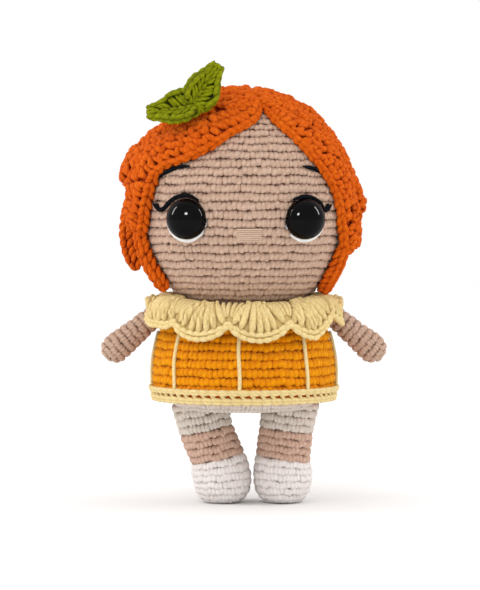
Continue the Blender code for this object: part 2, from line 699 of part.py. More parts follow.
# Eyes
def add_eye(side, azimuth):
    """A button eye on the head's normal, with its white backing and inner washer."""
    normal = head_normal(azimuth, EYE_POLAR)
    turn = normal.to_track_quat("Z", "Y")
    place = head_point(azimuth, EYE_POLAR)

    def on_eye(piece, shift=0.0):
        piece.location = place + turn @ Vector((0.0, -shift, 0.0))
        piece.rotation_mode = "QUATERNION"
        piece.rotation_quaternion = turn

    seat = -EYE_SEAT_DEPTH
    backing_low, backing_high = seat + GAP, seat + GAP + EYE_WHITE_THICKNESS
    post_hole = EYE_POST_RADIUS + GAP
    backing = add_turned(
        side + "_eye_white",
        [
            (post_hole + EYE_WHITE_DROP, backing_high),
            (EYE_WHITE_RADIUS, backing_high),
            (EYE_WHITE_RADIUS, backing_low),
            (post_hole + EYE_WHITE_DROP, backing_low),
        ],
        white_felt, head, 20,
    )
    on_eye(backing, EYE_WHITE_DROP)
    base = backing_high + GAP
    dome = [
        (EYE_RADIUS * math.sin(math.radians(angle)), base + EYE_RIM + EYE_DOME_HEIGHT * math.cos(math.radians(angle)))
        for angle in (0.0, 20.0, 40.0, 60.0, 78.0, 90.0)
    ]
    eye = add_turned(
        side + "_eye",
        dome
        + [(EYE_RADIUS, base), (EYE_POST_RADIUS, base)]
        + [(EYE_POST_RADIUS, base - EYE_POST_LENGTH), (0.0, base - EYE_POST_LENGTH)],
        black_plastic, head, 20,
    )
    on_eye(eye)
    washer_top = -COVER_WALL - WASHER_SINK
    washer = add_turned(
        side + "_eye_washer",
        [
            (post_hole, washer_top),
            (WASHER_RADIUS, washer_top),
            (WASHER_RADIUS, washer_top - WASHER_THICKNESS),
            (post_hole, washer_top - WASHER_THICKNESS),
        ],
        washer_plastic, head, FINE_SIDES,
    )
    on_eye(washer)
    seat_cutter = add_turned(
        side + "_eye_seat",
        [
            (0.0, OVERRUN),
            (EYE_WHITE_RADIUS + EYE_WHITE_DROP + GAP, OVERRUN),
            (EYE_WHITE_RADIUS + EYE_WHITE_DROP + GAP, seat),
            (post_hole, seat),
            (post_hole, -COVER_WALL - OVERRUN),
            (0.0, -COVER_WALL - OVERRUN),
        ],
        None, head, 20,
    )
    on_eye(seat_cutter)
    cut(head_cover, seat_cutter)
    room = [
        (0.0, -COVER_WALL + OVERRUN),
        (WASHER_RADIUS + GAP, -COVER_WALL + OVERRUN),
        (WASHER_RADIUS + GAP, washer_top - WASHER_THICKNESS - GAP),
        (post_hole, washer_top - WASHER_THICKNESS - GAP),
        (post_hole, base - EYE_POST_LENGTH - GAP),
        (0.0, base - EYE_POST_LENGTH - GAP),
    ]
    washer_room = add_turned(side + "_washer_room", room, None, head, FINE_SIDES)
    on_eye(washer_room)
    cut(head_stuffing, washer_room)


add_eye("left", LEFT_EYE_AZIMUTH)
add_eye("right", RIGHT_EYE_AZIMUTH)


# Embroidery on the face
def face_yarn(route, radius):
    """Points of a yarn that lies on the head along (azimuth, polar) places, two for each step."""
    lift = radius + 2.0 * GAP
    points = []
    for (first, low), (second, high) in zip(route, route[1:]):
        points.append(head_point(first, low, lift))
        points.append(head_point((first + second) / 2.0, (low + high) / 2.0, lift))
    points.append(head_point(*route[-1], lift))
    return points


for side, lash, brow in (
    ("left", LEFT_LASH_DEGREES, LEFT_BROW_DEGREES),
    ("right", RIGHT_LASH_DEGREES, RIGHT_BROW_DEGREES),
):
    add_yarn(side + "_lash", face_yarn(lash, FACE_YARN_RADIUS), FACE_YARN_RADIUS, black_yarn, head)
    add_yarn(side + "_brow", face_yarn(brow, FACE_YARN_RADIUS), FACE_YARN_RADIUS, black_yarn, head)

# The nose is one pad of strands laid side by side: its front is ribbed
nose_reach = math.degrees(0.5 * NOSE_WIDTH / HEAD_RADIUS)
nose_step = math.degrees(NOSE_HEIGHT / HEAD_RADIUS) / NOSE_STRANDS
nose_lift = 2.0 * GAP
nose_rings = []
for share in NOSE_REACH_SHARES:
    azimuth = NOSE_AZIMUTH + nose_reach * share
    low, high = NOSE_POLAR + 0.5 * nose_step * NOSE_STRANDS, NOSE_POLAR - 0.5 * nose_step * NOSE_STRANDS
    ring = [head_point(azimuth, high, nose_lift), head_point(azimuth, low, nose_lift)]
    for n in range(2 * NOSE_STRANDS + 1):
        bulge = 2.0 * NOSE_YARN_RADIUS if n % 2 else NOSE_YARN_RADIUS
        ring.append(head_point(azimuth, low - 0.5 * nose_step * n, nose_lift + bulge))
    nose_rings.append(ring)
add_loft("nose_stitches", nose_rings, skin, head)

# Hair cap: a domed cap whose rim follows the hairline
CAP_ROW_SHARES = [0.1, 0.22, 0.35, 0.48, 0.61, 0.74, 0.87, 1.0]
cap_points = [head_point(0.0, 0.0, HAIR_CAP_LIFT)]
for share in CAP_ROW_SHARES:
    for column in range(ROUND_SIDES):
        azimuth = -180.0 + 360.0 * column / ROUND_SIDES
        cap_points.append(head_point(azimuth, interpolate(CAP_EDGE_DEGREES, azimuth) * share, HAIR_CAP_LIFT))
cap_faces = [(0, 1 + column, 1 + (column + 1) % ROUND_SIDES) for column in range(ROUND_SIDES)]
for row in range(len(CAP_ROW_SHARES) - 1):
    for column in range(ROUND_SIDES):
        after = (column + 1) % ROUND_SIDES
        near, far = 1 + row * ROUND_SIDES, 1 + (row + 1) * ROUND_SIDES
        cap_faces.append((near + column, far + column, far + after, near + after))
hair_cap = add_mesh("hair_cap", cap_points, cap_faces, hair_orange, head)
cap_wall = hair_cap.modifiers.new("wall", "SOLIDIFY")
cap_wall.thickness = HAIR_CAP_WALL
cap_wall.offset = 1.0

# Hair locks
whorl = head_point(WHORL_AZIMUTH, WHORL_POLAR)
whorl_turn = Matrix.Rotation(math.radians(WHORL_AZIMUTH), 3, "Z") @ Matrix.Rotation(
    math.radians(WHORL_POLAR), 3, "X"
)


def from_whorl(angle, bearing, lift):
    """A place on the head at an angle from the whorl; bearing 0 runs down the face."""
    out, turn = math.radians(angle), math.radians(bearing)
    way = whorl_turn @ Vector((-math.sin(out) * math.sin(turn), -math.sin(out) * math.cos(turn), math.cos(out)))
    azimuth = math.degrees(math.atan2(way.x, -way.y))
    polar = math.degrees(math.acos(max(-1.0, min(1.0, way.z))))
    return head_point(azimuth, polar, lift)


LOCK_OUTER_SHARES = [(0.92, 0.38), (0.55, 0.85), (0.0, 1.0), (-0.55, 0.85), (-0.92, 0.38)]
lock_floor = HAIR_CAP_LIFT + HAIR_CAP_WALL + HAIR_LOCK_GAP


def lock_ring(angle, bearing, half_width, depth):
    """One section of a lock: flat below, arched above."""
    ring = [from_whorl(angle, bearing + half_width * across, lock_floor) for across in (-1.0, 0.0, 1.0)]
    for across, up in LOCK_OUTER_SHARES:
        ring.append(from_whorl(angle, bearing + half_width * across, lock_floor + depth * up))
    return ring


def add_lock(name, number, last_angle):
    """A lock between its neighbours: all locks share their rows, so their sides run alike."""
    angles = [WHORL_OPENING]
    while angles[-1] + 1.4 * LOCK_ROW_STEP < last_angle:
        angles.append(angles[-1] + LOCK_ROW_STEP)
    rings = []
    for angle in angles + [last_angle]:
        first = interpolate(RIGHT_HAIRLINE_DEGREES, angle)
        span = 360.0 + interpolate(LEFT_HAIRLINE_DEGREES, angle) - first
        half_gap = math.degrees(1.2 * GAP / (HEAD_RADIUS * math.sin(math.radians(angle))))
        bearing = first + span * (number + 0.5) / len(LOCKS)
        half_width = 0.5 * span / len(LOCKS) - half_gap
        tip = 0.55 if angle == last_angle else 1.0
        rise = min(1.0, 0.45 + angle / 50.0)
        rings.append(lock_ring(angle, bearing, half_width * tip, HAIR_LOCK_DEPTH * rise * (0.5 + 0.5 * tip)))
    add_loft(name, rings, hair_orange, head)


for number, (name, last_angle) in enumerate(LOCKS):
    add_lock(name, number, last_angle)

for name, half_width, depth_share, route in LOOSE_LOCKS:
    rings = []
    for n, (angle, bearing) in enumerate(route):
        tip = 0.6 if n in (0, len(route) - 1) else 1.0
        rings.append(lock_ring(angle, bearing, half_width * tip, HAIR_LOCK_DEPTH * depth_share * tip))
    add_loft(name, rings, hair_orange, head)

# Leaves: each bends at its stalk end, where a few stitches hold it to the hair
hair_top = lock_floor + HAIR_LOCK_DEPTH
leaf_base = head_point(LEAF_BASE_AZIMUTH, LEAF_BASE_POLAR, hair_top + LEAF_STITCH_RADIUS - 2.0 * GAP)
LEAF_WIDTH_SHARES = [(0.0, 0.30), (0.12, 0.55), (0.35, 0.95), (0.6, 1.0), (0.85, 0.62), (1.0, 0.16)]
LEAF_SECTION_SHARES = [(-1.0, 0.0), (-0.5, -1.0), (0.0, -1.0), (0.5, -1.0), (1.0, 0.0), (0.5, 1.0), (0.0, 1.0), (-0.5, 1.0)]


def add_leaf(side, along, across, length, half_width):
    """A cupped leaf: its middle line runs along, its width lies across."""
    along, across = Vector(along).normalized(), Vector(across)
    across = (across - along * across.dot(along)).normalized()
    cup_way = across.cross(along)
    pivot = add_empty(side + "_leaf_base", leaf_base + along * (LEAF_STITCH_RADIUS + GAP), head)
    rings = []
    for place, width in LEAF_WIDTH_SHARES:
        centre = along * (length * place + LEAF_STITCH_RADIUS * LEAF_STALK_SHARE)
        ring = []
        for over, thick in LEAF_SECTION_SHARES:
            reach = half_width * width * over
            cup = LEAF_CUP * width * (over ** 2)
            ring.append(centre + across * reach + cup_way * (cup + LEAF_WALL_RADIUS * thick))
        rings.append(ring)
    return add_loft(side + "_leaf", rings, green, pivot)


LEFT_LEAF_ALONG = (0.28, 0.12, 0.95)
LEFT_LEAF_ACROSS = (1.0, 0.15, -0.15)
RIGHT_LEAF_ALONG = (-0.96, 0.22, -0.05)
RIGHT_LEAF_ACROSS = (0.0, 0.50, 0.87)
add_leaf("left", LEFT_LEAF_ALONG, LEFT_LEAF_ACROSS, LEFT_LEAF_LENGTH, LEFT_LEAF_HALF_WIDTH)
add_leaf("right", RIGHT_LEAF_ALONG, RIGHT_LEAF_ACROSS, RIGHT_LEAF_LENGTH, RIGHT_LEAF_HALF_WIDTH)

stitches = bmesh.new()
bmesh.ops.create_uvsphere(stitches, u_segments=10, v_segments=6, radius=LEAF_STITCH_RADIUS)
stitch_mesh = bpy.data.meshes.new("leaf_stitches")
stitches.to_mesh(stitch_mesh)
stitches.free()
stitch_mesh.shade_smooth()
stitch_mesh.materials.append(green)
leaf_stitches = bpy.data.objects.new("leaf_stitches", stitch_mesh)
leaf_stitches.location = leaf_base
leaf_stitches.parent = head
parts.objects.link(leaf_stitches)
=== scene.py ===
import math

import bpy
import numpy as np
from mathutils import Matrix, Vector


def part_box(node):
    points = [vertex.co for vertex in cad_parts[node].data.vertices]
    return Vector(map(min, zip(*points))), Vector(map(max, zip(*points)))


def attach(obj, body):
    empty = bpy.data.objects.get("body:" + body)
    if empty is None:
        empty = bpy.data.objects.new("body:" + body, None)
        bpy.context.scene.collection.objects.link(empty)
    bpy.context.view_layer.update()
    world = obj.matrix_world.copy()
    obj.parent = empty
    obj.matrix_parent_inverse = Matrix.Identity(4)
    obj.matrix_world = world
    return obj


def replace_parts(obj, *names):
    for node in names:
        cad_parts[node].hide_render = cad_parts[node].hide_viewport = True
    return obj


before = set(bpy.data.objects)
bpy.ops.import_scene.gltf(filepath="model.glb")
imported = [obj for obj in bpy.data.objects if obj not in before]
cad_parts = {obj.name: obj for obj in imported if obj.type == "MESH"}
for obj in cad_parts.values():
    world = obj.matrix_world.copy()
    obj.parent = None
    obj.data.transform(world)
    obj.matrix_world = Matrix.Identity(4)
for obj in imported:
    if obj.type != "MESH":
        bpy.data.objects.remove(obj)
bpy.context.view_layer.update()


# The set: even white light from all round, with a large soft lamp above the front on the doll's right.
# Three more lamps show as a spot and two streaks in the button eyes. The camera stands where the
# photograph's did.
PHOTO_SCALE = 0.00043
PHOTO_HEIGHT = 590
CAMERA_DISTANCE = 1.15
CAMERA_HEIGHT = 0.124
AIM_HEIGHT = 0.0894
ASIDE = -0.0017
AXIS_Y = -0.0037

picture = bpy.context.scene
picture.view_settings.view_transform = "Standard"
lens = bpy.data.cameras.new("camera")
lens.sensor_width = 36.0
lens.lens = lens.sensor_width * CAMERA_DISTANCE / (PHOTO_HEIGHT * PHOTO_SCALE)
lens.clip_start = 0.05
lens.clip_end = 20.0
camera = bpy.data.objects.new("camera", lens)
camera.location = (ASIDE, AXIS_Y - CAMERA_DISTANCE, CAMERA_HEIGHT)
sight = Vector((ASIDE, AXIS_Y, AIM_HEIGHT)) - camera.location
camera.rotation_euler = sight.to_track_quat("-Z", "Y").to_euler()
picture.collection.objects.link(camera)
picture.camera = camera

world = bpy.data.worlds.new("white studio")
world.use_nodes = True
world.node_tree.nodes["Background"].inputs["Color"].default_value = (1.0, 1.0, 1.0, 1.0)
world.node_tree.nodes["Background"].inputs["Strength"].default_value = 1.0
picture.world = world


def soft_lamp(name, place, size, tall, power, shows=True, lights=True):
    """A flat lamp of size by tall metres that faces the middle of the doll. One that does not show is left
    out of the reflections, and one that does not light is seen in them only."""
    lamp = bpy.data.lights.new(name, "AREA")
    lamp.shape = "RECTANGLE"
    lamp.size = size
    lamp.size_y = tall
    lamp.energy = power
    lamp_object = bpy.data.objects.new(name, lamp)
    lamp_object.location = place
    way = Vector((0.0, 0.0, 0.10)) - Vector(place)
    lamp_object.rotation_euler = way.to_track_quat("-Z", "Y").to_euler()
    lamp_object.visible_glossy = shows
    lamp_object.visible_diffuse = lights
    picture.collection.objects.link(lamp_object)


soft_lamp("soft lamp above", (-0.50, -1.05, 1.20), 0.9, 0.7, 5.0, shows=False)
soft_lamp("soft lamp in front", (-0.32, -1.02, 0.50), 0.20, 0.18, 15.0, lights=False)
for hand in (1.0, -1.0):
    soft_lamp("side lamp", (0.95 * hand, 0.05, 0.60), 0.10, 0.55, 2.6, shows=False)
    soft_lamp("strip lamp", (0.95 * hand, -0.10, 0.60), 0.10, 0.55, 9.0, lights=False)


# Shoes: white cotton worked in rounds from the middle of the sole, each with a stiff sole sheet inside. The
# rounds go on without a break into the skin-coloured rows of the leg.
SHOE_HEIGHT = 0.0193
CUFF_Z = 0.0310
CROTCH_Z = 0.0402
HEM_Z = 0.0444
SHOE_OUTLINE = [
    (0.0, 0.0004), (0.0045, 0.0004), (0.0074, 0.0006), (0.0092, 0.0016), (0.0105, 0.0032), (0.0116, 0.0056),
    (0.0123, 0.0086), (0.0124, 0.0110), (0.0123, 0.0146), (0.0119, 0.0176), (0.0113, 0.0194),
]
LEG_SIDES = {
    "left": (8.0, (0.0167, 0.0167, 0.0169, 0.0181, 0.0204)),
    "right": (-13.0, (-0.0092, -0.0092, -0.0113, -0.0163, -0.0194)),
}
LEG_HEIGHTS = (0.0, 0.5 * SHOE_HEIGHT, SHOE_HEIGHT, CUFF_Z, HEM_Z)
LEG_FORWARD = 0.0008


class Dye:
    """One output of a shader node. Sums and products with it add Math nodes."""

    def __init__(self, tree, socket=None):
        self.tree = tree
        self.socket = socket

    def node(self, kind, settings, sockets, output=0):
        """Any node: its type, its settings, then the value or the link of each socket."""
        made = self.tree.nodes.new(kind)
        for name, value in settings.items():
            setattr(made, name, value)
        for slot, value in sockets.items():
            if isinstance(value, Dye):
                self.tree.links.new(value.socket, made.inputs[slot])
            else:
                made.inputs[slot].default_value = value
        return Dye(self.tree, made.outputs[output])

    def math(self, operation, first, second=0.0):
        """The result of a Math node."""
        return self.node("ShaderNodeMath", {"operation": operation}, {0: first, 1: second})

    def __add__(self, other):
        return self.math("ADD", self, other)

    def __mul__(self, other):
        return self.math("MULTIPLY", self, other)

    def __sub__(self, other):
        return self.math("SUBTRACT", self, other)

    def __rsub__(self, other):
        return self.math("SUBTRACT", other, self)

    __radd__ = __add__
    __rmul__ = __mul__

    def blend(self, factor, first, second):
        """The first colour where the factor is 0 and the second where it is 1."""
        return self.node("ShaderNodeMix", {"data_type": "RGBA"}, {0: factor, 6: first, 7: second}, 2)

    def noise(self, place, scale, detail=2.0, rough=0.5):
        """Soft noise, finer with the scale; detail and rough add still finer noise to it."""
        sockets = {"Vector": place, "Scale": scale, "Detail": detail, "Roughness": rough}
        return self.node("ShaderNodeTexNoise", {}, sockets)

    def bump(self, strength, distance, height):
        """A surface direction tilted as if the height stood out by the distance."""
        return self.node("ShaderNodeBump", {}, {"Strength": strength, "Distance": distance, "Height": height})

    def clamped(self):
        """The same output, kept from 0 to 1."""
        self.socket.node.use_clamp = True
        return self

    def feed(self, shader, slot):
        """Links this output to one of the shader's inputs."""
        self.tree.links.new(self.socket, shader.inputs[slot])


def screen(red, green, blue):
    """A colour on the screen's scale of 0 to 255, as the shader's linear values."""
    return tuple((value / 255.0) ** 2.2 for value in (red, green, blue)) + (1.0,)


def bare_finish(name, roughness, shine):
    """A material of one shader. Given with it are the shader, a first Dye, and the place for patterns."""
    made = bpy.data.materials.new(name)
    made.use_nodes = True
    shader = made.node_tree.nodes["Principled BSDF"]
    shader.inputs["Roughness"].default_value = roughness
    shader.inputs["Specular IOR Level"].default_value = shine
    start = Dye(made.node_tree)
    return made, shader, start, start.node("ShaderNodeTexCoord", {}, {}, 3)


def yarn_finish(name, main, light, deep, ply=0.5, sheen=0.03, shine=0.12, hairs=(1.0, 1.0, 1.0)):
    """Plied cotton. A sine of the way along plus the way around draws the plies, with painted light on their
    crests and painted shade in their grooves. Painted shade also darkens each stitch where it dips into the
    cloth, and each strand's sides, towards the third colour; a strand's own tint moves it towards light, and
    noise gives the fibres. Sheen is the glow of the fine hairs that stand off the yarn, and hairs is their
    colour."""
    made, shader, start, place = bare_finish(name, 0.88, shine)
    shader.inputs["Sheen Weight"].default_value = sheen
    shader.inputs["Sheen Roughness"].default_value = 0.6
    shader.inputs["Sheen Tint"].default_value = (*hairs, 1.0)
    route = start.node("ShaderNodeUVMap", {"uv_map": "yarn"}, {})
    run = start.node("ShaderNodeSeparateXYZ", {}, {0: route})
    around = Dye(start.tree, run.socket.node.outputs[1])
    plies = start.math("SINE", run * (math.tau / 2.4) + around * (math.tau * 2.0)) * 0.5 + 0.5
    tint = start.node("ShaderNodeAttribute", {"attribute_name": "tint"}, {}, 2)
    shade_amount = start.node("ShaderNodeAttribute", {"attribute_name": "shade_amount"}, {}, 2)
    fibres = start.noise(place, 1500.0, 3.0, 0.7)
    cloud = start.noise(place, 70.0)
    # Random tint and noise, with painted light on the ply crests, move the colour towards the lighter one.
    lit = (tint * 0.55 + plies * (0.5 * ply) + fibres * 0.5 + cloud * 0.5 - 0.50).clamped()
    # Painted shade where a stitch dips into the cloth, on each strand's sides and in the ply grooves, with a
    # little random fibre noise.
    shadow = (shade_amount + (1.0 - plies) * (0.16 * ply) + (1.0 - fibres) * 0.12 - 0.06).clamped()
    colour = start.blend(shadow, start.blend(lit, screen(*main), screen(*light)), screen(*deep))
    colour.feed(shader, "Base Color")
    start.bump(0.8, 0.00022, plies * ply + fibres * 0.5).feed(shader, "Normal")
    return made


def under_finish(name, main, deep):
    """The cloth between and behind the stitches, coloured darker than its yarn as painted shade in the gaps:
    the darker colour with a little of the yarn's own in blotches. For white felt and the sole sheet the two
    colours are only a blotchy tone.
    """
    made, shader, start, place = bare_finish(name, 0.95, 0.1)
    blotch = start.noise(place, 500.0, 3.0)
    start.blend(blotch, screen(*deep), screen(*main)).feed(shader, "Base Color")
    start.bump(0.6, 0.0004, blotch).feed(shader, "Normal")
    return made


rng = np.random.default_rng(11)


def uneven(spread, count):
    """Small random amounts, one for each of count strands, as a column."""
    return rng.normal(0.0, spread, (count, 1))


def unit(way):
    """Each arrow divided by its own length."""
    return way / np.maximum(np.linalg.norm(way, axis=-1, keepdims=True), 1e-12)


def yarn(paths, outs, thick, wide=1.0, sides=6, tint=0.25, shade_amount=None, side_shading=0.45):
    """Strands along many paths at once, paths[strand, step]. Round each step stands a ring: the path plus its
    side way times a cosine plus its outward way times a sine, times the strand's thickness there. Each end
    closes on one point. Each step is given painted shade from 0 to 1, most where the strand dips into the
    cloth, and the side shading says how much more painted shade a strand's sides get than its top."""
    count, steps = paths.shape[:2]
    thick = np.broadcast_to(thick, (count, steps))
    shade_amount = np.zeros((count, steps)) if shade_amount is None else np.broadcast_to(shade_amount, (count, steps))
    along = unit(np.gradient(paths, axis=1))
    aside = unit(np.cross(along, outs))
    rise = np.cross(aside, along)
    turn = np.arange(sides) * math.tau / sides
    ring = paths[:, :, None] + thick[:, :, None, None] * (
        aside[:, :, None] * (wide * np.cos(turn))[:, None] + rise[:, :, None] * np.sin(turn)[:, None]
    )
    first = paths[:, :1] - along[:, :1] * thick[:, :1, None] * 0.8
    last = paths[:, -1:] + along[:, -1:] * thick[:, -1:, None] * 0.8
    points = np.concatenate([ring.reshape(count, -1, 3), first, last], axis=1)
    size = steps * sides + 2
    spot = np.arange(steps * sides).reshape(steps, sides)
    after = np.roll(spot, -1, axis=1)
    quads = np.stack([spot[:-1], spot[1:], after[1:], after[:-1]], axis=-1).reshape(-1, 4)
    caps = np.concatenate([
        np.stack([np.full(sides, size - 2), spot[0], after[0]], axis=-1),
        np.stack([np.full(sides, size - 1), after[-1], spot[-1]], axis=-1),
    ])
    shift = (np.arange(count) * size)[:, None, None]
    steps_mm = np.linalg.norm(np.diff(paths, axis=1), axis=2) * 1000.0
    run = np.concatenate([np.zeros((count, 1)), np.cumsum(steps_mm, axis=1)], axis=1)
    run = run + rng.uniform(0.0, 9.0, (count, 1))
    left = np.arange(sides) / sides
    right = left + 1.0 / sides

    low_run = np.repeat(run[:, :-1, None], sides, axis=2)
    high_run = np.repeat(run[:, 1:, None], sides, axis=2)
    left_round = np.broadcast_to(left, low_run.shape)
    right_round = np.broadcast_to(right, low_run.shape)
    quad_uv = np.stack([
        np.stack([low_run, left_round], -1), np.stack([high_run, left_round], -1),
        np.stack([high_run, right_round], -1), np.stack([low_run, right_round], -1),
    ], axis=3).reshape(-1, 2)
    end_run = np.stack([run[:, 0], run[:, -1]], axis=1)
    end_run = np.repeat(end_run[:, :, None], sides, axis=2)
    left_end = np.broadcast_to(left, end_run.shape)
    right_end = np.broadcast_to(right, end_run.shape)
    ends = np.stack([
        np.stack([end_run, 0.5 * (left_end + right_end)], -1),
        np.stack([end_run, left_end], -1), np.stack([end_run, right_end], -1),
    ], axis=3)
    ends[:, 1] = ends[:, 1][:, :, [0, 2, 1]]
    # Painted shade: a strand's sides and underside are drawn darker than its top.
    side_shade = side_shading * np.clip(0.6 - np.sin(turn), 0.0, 1.0)
    deeper = 1.0 - (1.0 - shade_amount[:, :, None]) * (1.0 - side_shade)
    shade_values = np.concatenate([deeper.reshape(count, -1), shade_amount[:, :1], shade_amount[:, -1:]], axis=1)
    shade = np.repeat(rng.uniform(-tint, tint, (count, 1)) + 0.5, size, axis=1)
    return {
        "points": points.reshape(-1, 3),
        "quads": (quads[None] + shift).reshape(-1, 4),
        "tris": (caps[None] + shift).reshape(-1, 3),
        "quad_uv": quad_uv,
        "tri_uv": ends.reshape(-1, 2),
        "tint": shade.ravel(),
        "shade_amount": shade_values.ravel(),
    }


def full_turn(count):
    """So many even steps round a whole turn, in radians, the first at 0."""
    return np.linspace(0.0, math.tau, count + 1)[:-1]


def plain(points, quads, tris):
    """A mesh of points and faces with even values in place of a yarn's patterns."""
    return {
        "points": points, "quads": quads, "tris": tris,
        "quad_uv": np.zeros((quads.size, 2)), "tri_uv": np.zeros((tris.size, 2)),
        "tint": np.full(len(points), 0.5), "shade_amount": np.full(len(points), 0.5),
    }


def cover(place, turns, heights, lift=0.0):
    """Cloth over a surface: a grid of points at the given turns and heights, wrapped round and moved out by
    lift, each end closed on the middle of its last ring."""
    around, up = np.meshgrid(turns, heights, indexing="xy")
    grid, _ = lie_on(place, around, up, lift)
    rows, columns = around.shape
    points = np.concatenate([grid.reshape(-1, 3), grid[0].mean(axis=0)[None], grid[-1].mean(axis=0)[None]])
    spot = np.arange(rows * columns).reshape(rows, columns)
    after = np.roll(spot, -1, axis=1)
    quads = np.stack([spot[:-1], after[:-1], after[1:], spot[1:]], axis=-1).reshape(-1, 4)
    tris = np.concatenate([
        np.stack([np.full(columns, rows * columns), after[0], spot[0]], axis=-1),
        np.stack([np.full(columns, rows * columns + 1), spot[-1], after[-1]], axis=-1),
    ])
    return plain(points, quads, tris)


def piece(name, parts, material, body):
    """Joins the parts into one smooth mesh at the origin that rides on a body."""
    parts = parts if isinstance(parts, list) else [parts]
    starts = np.cumsum([0] + [len(part["points"]) for part in parts])
    points = np.concatenate([part["points"] for part in parts])
    quads = np.concatenate([part["quads"] + start for part, start in zip(parts, starts)])
    tris = np.concatenate([part["tris"] + start for part, start in zip(parts, starts)])
    corners = np.concatenate([quads.ravel(), tris.ravel()]).astype(np.int32)
    firsts = np.concatenate([np.arange(len(quads)) * 4, quads.size + np.arange(len(tris)) * 3])
    mesh = bpy.data.meshes.new(name)
    mesh.vertices.add(len(points))
    mesh.vertices.foreach_set("co", points.astype(np.float32).ravel())
    mesh.loops.add(len(corners))
    mesh.loops.foreach_set("vertex_index", corners)
    mesh.polygons.add(len(firsts))
    mesh.polygons.foreach_set("loop_start", firsts.astype(np.int32))
    mesh.polygons.foreach_set("use_smooth", np.ones(len(firsts), bool))
    mesh.update(calc_edges=True)
    flat = np.concatenate([part["quad_uv"] for part in parts] + [part["tri_uv"] for part in parts])
    mesh.uv_layers.new(name="yarn").data.foreach_set("uv", flat.astype(np.float32).ravel())
    for mark in ("tint", "shade_amount"):
        values = np.concatenate([part[mark] for part in parts]).astype(np.float32)
        mesh.attributes.new(mark, "FLOAT", "POINT").data.foreach_set("value", values)
    mesh.materials.append(material)
    made = bpy.data.objects.new(name, mesh)
    picture.collection.objects.link(made)
    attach(made, body)
    return made


def way_along(points):
    """The way from the first point to each of the points, from one to the next."""
    return np.concatenate([[0.0], np.cumsum(np.linalg.norm(np.diff(points, axis=0), axis=1))])


def rounded(outline, count=160, ease=0.0018):
    """The outline with its corners eased: even points along it, each the mean of nine places on the outline
    that reach to either side of it by ease, or less near the ends."""
    outline = np.array(outline, float)
    way = way_along(outline)
    even = np.linspace(0.0, way[-1], count)
    room = np.minimum(ease, np.minimum(even, way[-1] - even))
    spots = even[:, None] + np.linspace(-1.0, 1.0, 9) * room[:, None]
    return np.stack([np.interp(spots, way, outline[:, n]).mean(axis=1) for n in (0, 1)], axis=1)


def turned(outline, spine):
    """An outline of (radius, height) turned about a spine. Gives a surface of the turn and the way up along
    the outline, and that way's whole length."""
    fine = rounded(outline)
    way = way_along(fine)

    def place(around, up):
        """The outline's radius and height at a way up, set on the spine at a turn."""
        radius, height = np.interp(up, way, fine[:, 0]), np.interp(up, way, fine[:, 1])
        return spine(radius * np.cos(around), radius * np.sin(around), height)

    place.way = way
    place.fine = fine
    return place


def lie_on(place, around, up, lift):
    """Points moved out from a surface, and its outward ways: those square to a small step round it and a
    small step up it."""
    around, up, lift = np.broadcast_arrays(around, up, lift)
    side = place(around + 0.01, up) - place(around - 0.01, up)
    rise = place(around, up + 0.0002) - place(around, up - 0.0002)
    out = unit(np.cross(side, rise))
    return place(around, up) + out * lift[..., None], out


def wave(around, number):
    """How far a round wanders up or down: two sines of the turn, a little further on in each round."""
    return 0.00017 * (np.sin(6.0 * around + 1.3 * number) + np.sin(13.0 * around - 0.8 * number))


ROUND_SHIFT = 0.35
ROUND_UNEVEN = 0.035


def rounds(place, rows, width, keep=None):
    """Centre, width and lower and upper edge of each stitch in worked rounds. rows is the list of heights
    between the rounds; each round has as many stitches of the given width as fit, and starts ROUND_SHIFT of a
    stitch further round than the one below. ROUND_UNEVEN is the spread of a stitch's place in its round."""
    found = []
    for number, (low, high) in enumerate(zip(rows[:-1], rows[1:])):
        middle = 0.5 * (low + high)
        radius = np.interp(middle, place.way, place.fine[:, 0])
        count = max(5, int(round(math.tau * radius / width)))
        centre = (np.arange(count) + ROUND_SHIFT * number) * math.tau / count
        centre = centre + rng.normal(0.0, ROUND_UNEVEN, count) * math.tau / count
        edges = (low + wave(centre, number), high + wave(centre, number + 1))
        one = np.stack([centre, np.full(count, math.tau / count), *edges])
        found.append(one)
    found = np.concatenate(found, axis=1)
    if keep is not None:
        found = found[:, keep(place(found[0], 0.5 * (found[2] + found[3])))]
    return found


LEG_SHARE = np.array([0.0, 0.13, 0.36, 0.62, 0.86, 1.0])
LEG_RISE = np.array([-1.6, -0.4, 0.6, 1.0, 0.9, 0.0])
LEG_GIRTH = np.array([0.50, 0.84, 1.02, 1.08, 0.98, 0.54])
# Painted shade along a leg: darkest at its top under the round above, none at its crest, a little at its
# foot.
LEG_SHADE = np.array([0.9, 0.66, 0.16, 0.0, 0.0, 0.28])


